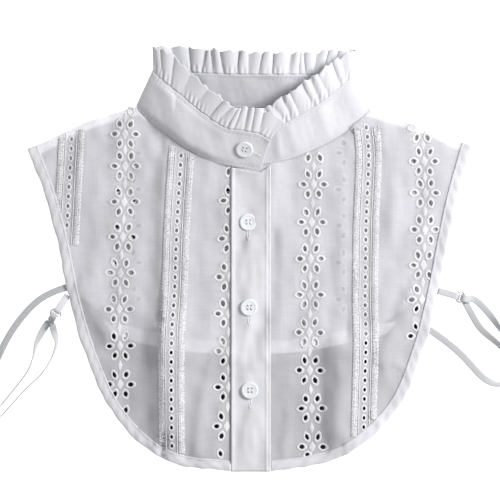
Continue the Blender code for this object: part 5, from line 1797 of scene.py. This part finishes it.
ruffle = place(
    sheet("ruffle", COLLAR.ruffle(RUFFLE_STEP, RUFFLE_ROWS), RUFFLE_CLOTH, ruffle_cloth),
    "plain_cotton", "ruffle_front_left", "ruffle_back", "ruffle_front_right",
)

# Buttons
button_mesh = turned_button("button", resin)
seats = {}
for number, (x, y) in enumerate(PLACKET_BUTTONS, start=1):
    level = front_underside(np.array([(x, y)]))[0] + SOLID_CLOTH + SEAM + PLACKET_CLOTH + SEAM
    seats[f"button_{number}"] = Matrix.Translation(Vector((x, y, level)) * MM)
share = np.array([BAND_BUTTON_ALONG, BAND_BUTTON_ALONG + NEAR_SHARE])
low, high = COLLAR.point(0, "front_left", share), COLLAR.point(1, "front_left", share)
here = low + (high - low) * BAND_BUTTON_REACH
normal = unit(np.cross(high[0] - low[0], here[1] - here[0]))
normal *= 1.0 if normal[2] > 0.0 else -1.0
seat = here[0] + normal * (BAND_CLOTH / 2.0 + SEAM + BAND_BUTTON_SEAT)
facing = Vector(normal).to_track_quat("Z", "Y").to_matrix().to_4x4()
seats["button_band"] = Matrix.Translation(Vector(seat) * MM) @ facing
for node, matrix in seats.items():
    made = linked(f"{node}_shown", button_mesh)
    made.matrix_world = matrix
    place(made, "button_resin", node)

# Rings, tabs and straps
for side in SIDES:
    axes = RingFrame(*RINGS[side])
    turns = np.arange(RING_SIDES) / RING_SIDES * TURN
    out = np.cos(turns)[:, None] * axes.up_plane + np.sin(turns)[:, None] * axes.across
    section = np.arange(WIRE_SIDES) / WIRE_SIDES * TURN
    circle = axes.middle + out[:, None, :] * (RING_RADIUS + RING_WIRE * np.cos(section))[None, :, None]
    circle = circle + axes.off_plane * (RING_WIRE * np.sin(section))[None, :, None]
    pile = Pile()
    pile.add_ring_grid(circle, capped=False)
    place(pile.make(f"ring_{side}_wire", wire_metal), "ring_metal", f"ring_{side}")
    rows = webbing_rows(STRAP_ENDS[side]) + axes.wrap(1.0) + webbing_rows(STRAP_LOOPS[side])
    place(webbing(f"strap_{side}_elastic", rows, True, elastic), "elastic", f"strap_{side}")
    reach = axes.reach_to(armhole_and_hem(side)[0])
    rows = [axes.behind(reach, TAB_TOP_START), axes.behind(TAB_BEND, TAB_TOP_BEND)] + axes.wrap(-1.0)
    rows.append(axes.behind(TAB_BEND, TAB_UNDER_BEND))
    rows.append(axes.behind(reach + TAB_UNDER, WEB_CLEAR + 0.5 * WEB_CLOTH))
    place(webbing(f"tab_{side}_cloth", rows, False, plain_cloth), "plain_cotton", f"tab_{side}")

# Embroidery on the fronts and the back
ground = Pile()
for side in SIDES:
    outline, flowers, eyelets = cutwork[side]
    pile = Pile()
    for hole in flowers:
        satin_rim(pile, *hole, FLOWER_RIM, RIM_STITCHES)
    for hole in eyelets:
        satin_rim(pile, *hole, LADDER_RIM, LADDER_STITCHES)
    for column in columns[side]:
        column_ornament(pile, column, outline)
    for line in ladders[side]:
        ladder_ornament(pile, line, outline)
        for beside in (-1.0, 1.0):
            openwork_ground(ground, smooth_curve(line), beside, outline)
    place(pile.make(f"embroidery_{side}", satin, front_top), "eyelet_cotton")
# The darker ground under the feather bars: partly their open weave, partly painted shade between them
place(ground.make("openwork_gaps_and_shade_cloth", openwork_gaps_and_shade, front_top), "eyelet_cotton")
pile = Pile()
for hole in back_flowers:
    satin_rim(pile, *hole, FLOWER_RIM, BACK_STITCHES)
place(pile.make("embroidery_back", satin, back_top), "eyelet_cotton")

# Sewing lines of the bindings and the placket
pile = Pile()
for side in SIDES:
    line = sideways(armhole_and_hem(side)[1], -INWARD[side] * BINDING_STITCHES)
    line = evenly(line[np.abs(line[:, 0]) > STITCHES_END], STITCH_PATH)
    add_stitches(pile, at_heights(line, front_base(line) + STITCH_LEVELS["binding"] * BINDING_CLOTH))
for x in PLACKET_STITCHES:
    low, high = PLACKET_BOTTOM + STITCHES_STOP, placket_top_line(x) - STITCHES_STOP
    y = np.arange(low, high, STITCH_PATH)[::-1]
    line = np.stack([np.full(len(y), x), y], axis=1)
    add_stitches(pile, at_heights(line, placket_face(line, STITCH_LEVELS["placket"] * PLACKET_CLOTH)))
# The neck seam's and the ruffle seam's stitches, on the outside of the band
normals = grid_normals(band_middle)
for reach in BAND_STITCHES:
    row = np.argmin(np.abs(BAND_ROWS - reach))
    outward = normals[row] * np.where(normals[row][:, 2:] < 0.0, -1.0, 1.0)
    add_stitches(
        pile, band_middle[row] + outward * BAND_CLOTH * STITCH_LEVELS["band"], outward, BAND_THREAD_RISE,
    )
place(pile.make("stitches_plain", satin), "plain_cotton")

# Buttonholes: satin bars round a slit that shows below each button
pile = Pile()
for x, y in PLACKET_BUTTONS:
    hole = (x, y - BUTTONHOLE_DROP, *BUTTONHOLE, math.radians(90.0))
    satin_rim(pile, *hole, BUTTONHOLE_RIM, BUTTONHOLE_STITCHES)
place(pile.make("buttonholes", satin, buttonhole_level), "plain_cotton")

# The band's buttonhole, on the band's own slope beside its button
pile = Pile()
turn = math.radians(BAND_BUTTONHOLE_TURN)
x, y = turned(0.0, 0.0, BAND_BUTTONHOLE_AHEAD, 0.0, turn)
satin_rim(pile, x, y, *BAND_BUTTONHOLE, turn, BUTTONHOLE_RIM, BUTTONHOLE_STITCHES)
seat = seats["button_band"]
ahead = seat.inverted().to_3x3() @ Vector((1.0, 0.0, 0.0))
spin = Matrix.Rotation(math.atan2(ahead.y, ahead.x), 4, "Z")
pile.points = [moved(seat @ spin, pile.points[0])]
place(pile.make("band_buttonhole", satin), "plain_cotton")

# Threads that hold the buttons, over the two pairs of holes
pile = Pile()
for matrix in seats.values():
    for aside in (-1.0, 1.0):
        reach = np.linspace(-BUTTON_HOLE_SPACING, BUTTON_HOLE_SPACING, THREAD_POINTS)
        path = np.array([(aside * BUTTON_HOLE_SPACING, step, BUTTON_FACE + THREAD_LIFT) for step in reach])
        path[[0, -1], 2] -= THREAD_DIVE
        rings = tube_rings(path, 0.5 * BUTTON_THREAD, 0.5 * BUTTON_THREAD, CORD_SIDES)
        pile.add_ring_grid(moved(matrix, rings.reshape(-1, 3)).reshape(rings.shape), capped=True)
place(pile.make("button_threads", satin), "button_resin")


# Floor, light and camera

def stage_plane(name, outline, level, colour, glow):
    """A flat piece of the stage."""
    data = bpy.data.meshes.new(name)
    data.from_pydata([(x * MM, y * MM, level * MM) for x, y in outline], [], [list(range(len(outline)))])
    surface, shader = plain_material(name, colour, STAGE_ROUGHNESS)
    shader.inputs["Emission Color"].default_value = (*colour, 1.0)
    shader.inputs["Emission Strength"].default_value = glow
    data.materials.append(surface)
    made = linked(name, data)


corners = ((-1.0, -1.0), (1.0, -1.0), (1.0, 1.0), (-1.0, 1.0))
floor = [(x * FLOOR_REACH, y * FLOOR_REACH) for x, y in corners]
stage_plane("floor", floor, FLOOR_LEVEL, FLOOR_COLOUR, FLOOR_GLOW)
edges, tops = {}, {}
for side in SIDES:
    edges[side] = sideways(armhole_and_hem(side)[0], INWARD[side] * CARD_INSET)[CARD_SKIPPED:]
    tops[side] = sideways(np.array(SHOULDERS[side]), INWARD[side] * CARD_INSET)[:-1]
card = np.vstack([edges["left"], edges["right"][::-1], tops["right"][::-1], CARD_TOP, tops["left"]])
stage_plane("dark_card", card, CARD_LEVEL, CARD_COLOUR, 0.0)

world = bpy.data.worlds.new("studio")
bpy.context.scene.world = world
world.use_nodes = True
world.node_tree.nodes["Background"].inputs["Color"].default_value = (1.0, 1.0, 1.0, 1.0)
world.node_tree.nodes["Background"].inputs["Strength"].default_value = WORLD_LIGHT
bpy.context.scene.view_settings.view_transform = "Standard"

# The key light is soft and aimed at the collar
light = bpy.data.lights.new("key", "AREA")
light.energy = KEY_POWER
light.size = KEY_SIZE
key = linked("key", light)
key.location = KEY_PLACE
key.rotation_euler = (-Vector(KEY_PLACE)).to_track_quat("-Z", "Y").to_euler()

lens = bpy.data.cameras.new("camera")
lens.type = "PERSP"
lens.lens = CAMERA_LENS
lens.sensor_width = CAMERA_SENSOR
lens.clip_end = CAMERA_REACH
camera = linked("camera", lens)
camera_height = PICTURE_WIDTH * CAMERA_LENS / CAMERA_SENSOR
camera.location = (PICTURE_MIDDLE[0] * MM, PICTURE_MIDDLE[1] * MM, camera_height * MM)
bpy.context.scene.camera = camera
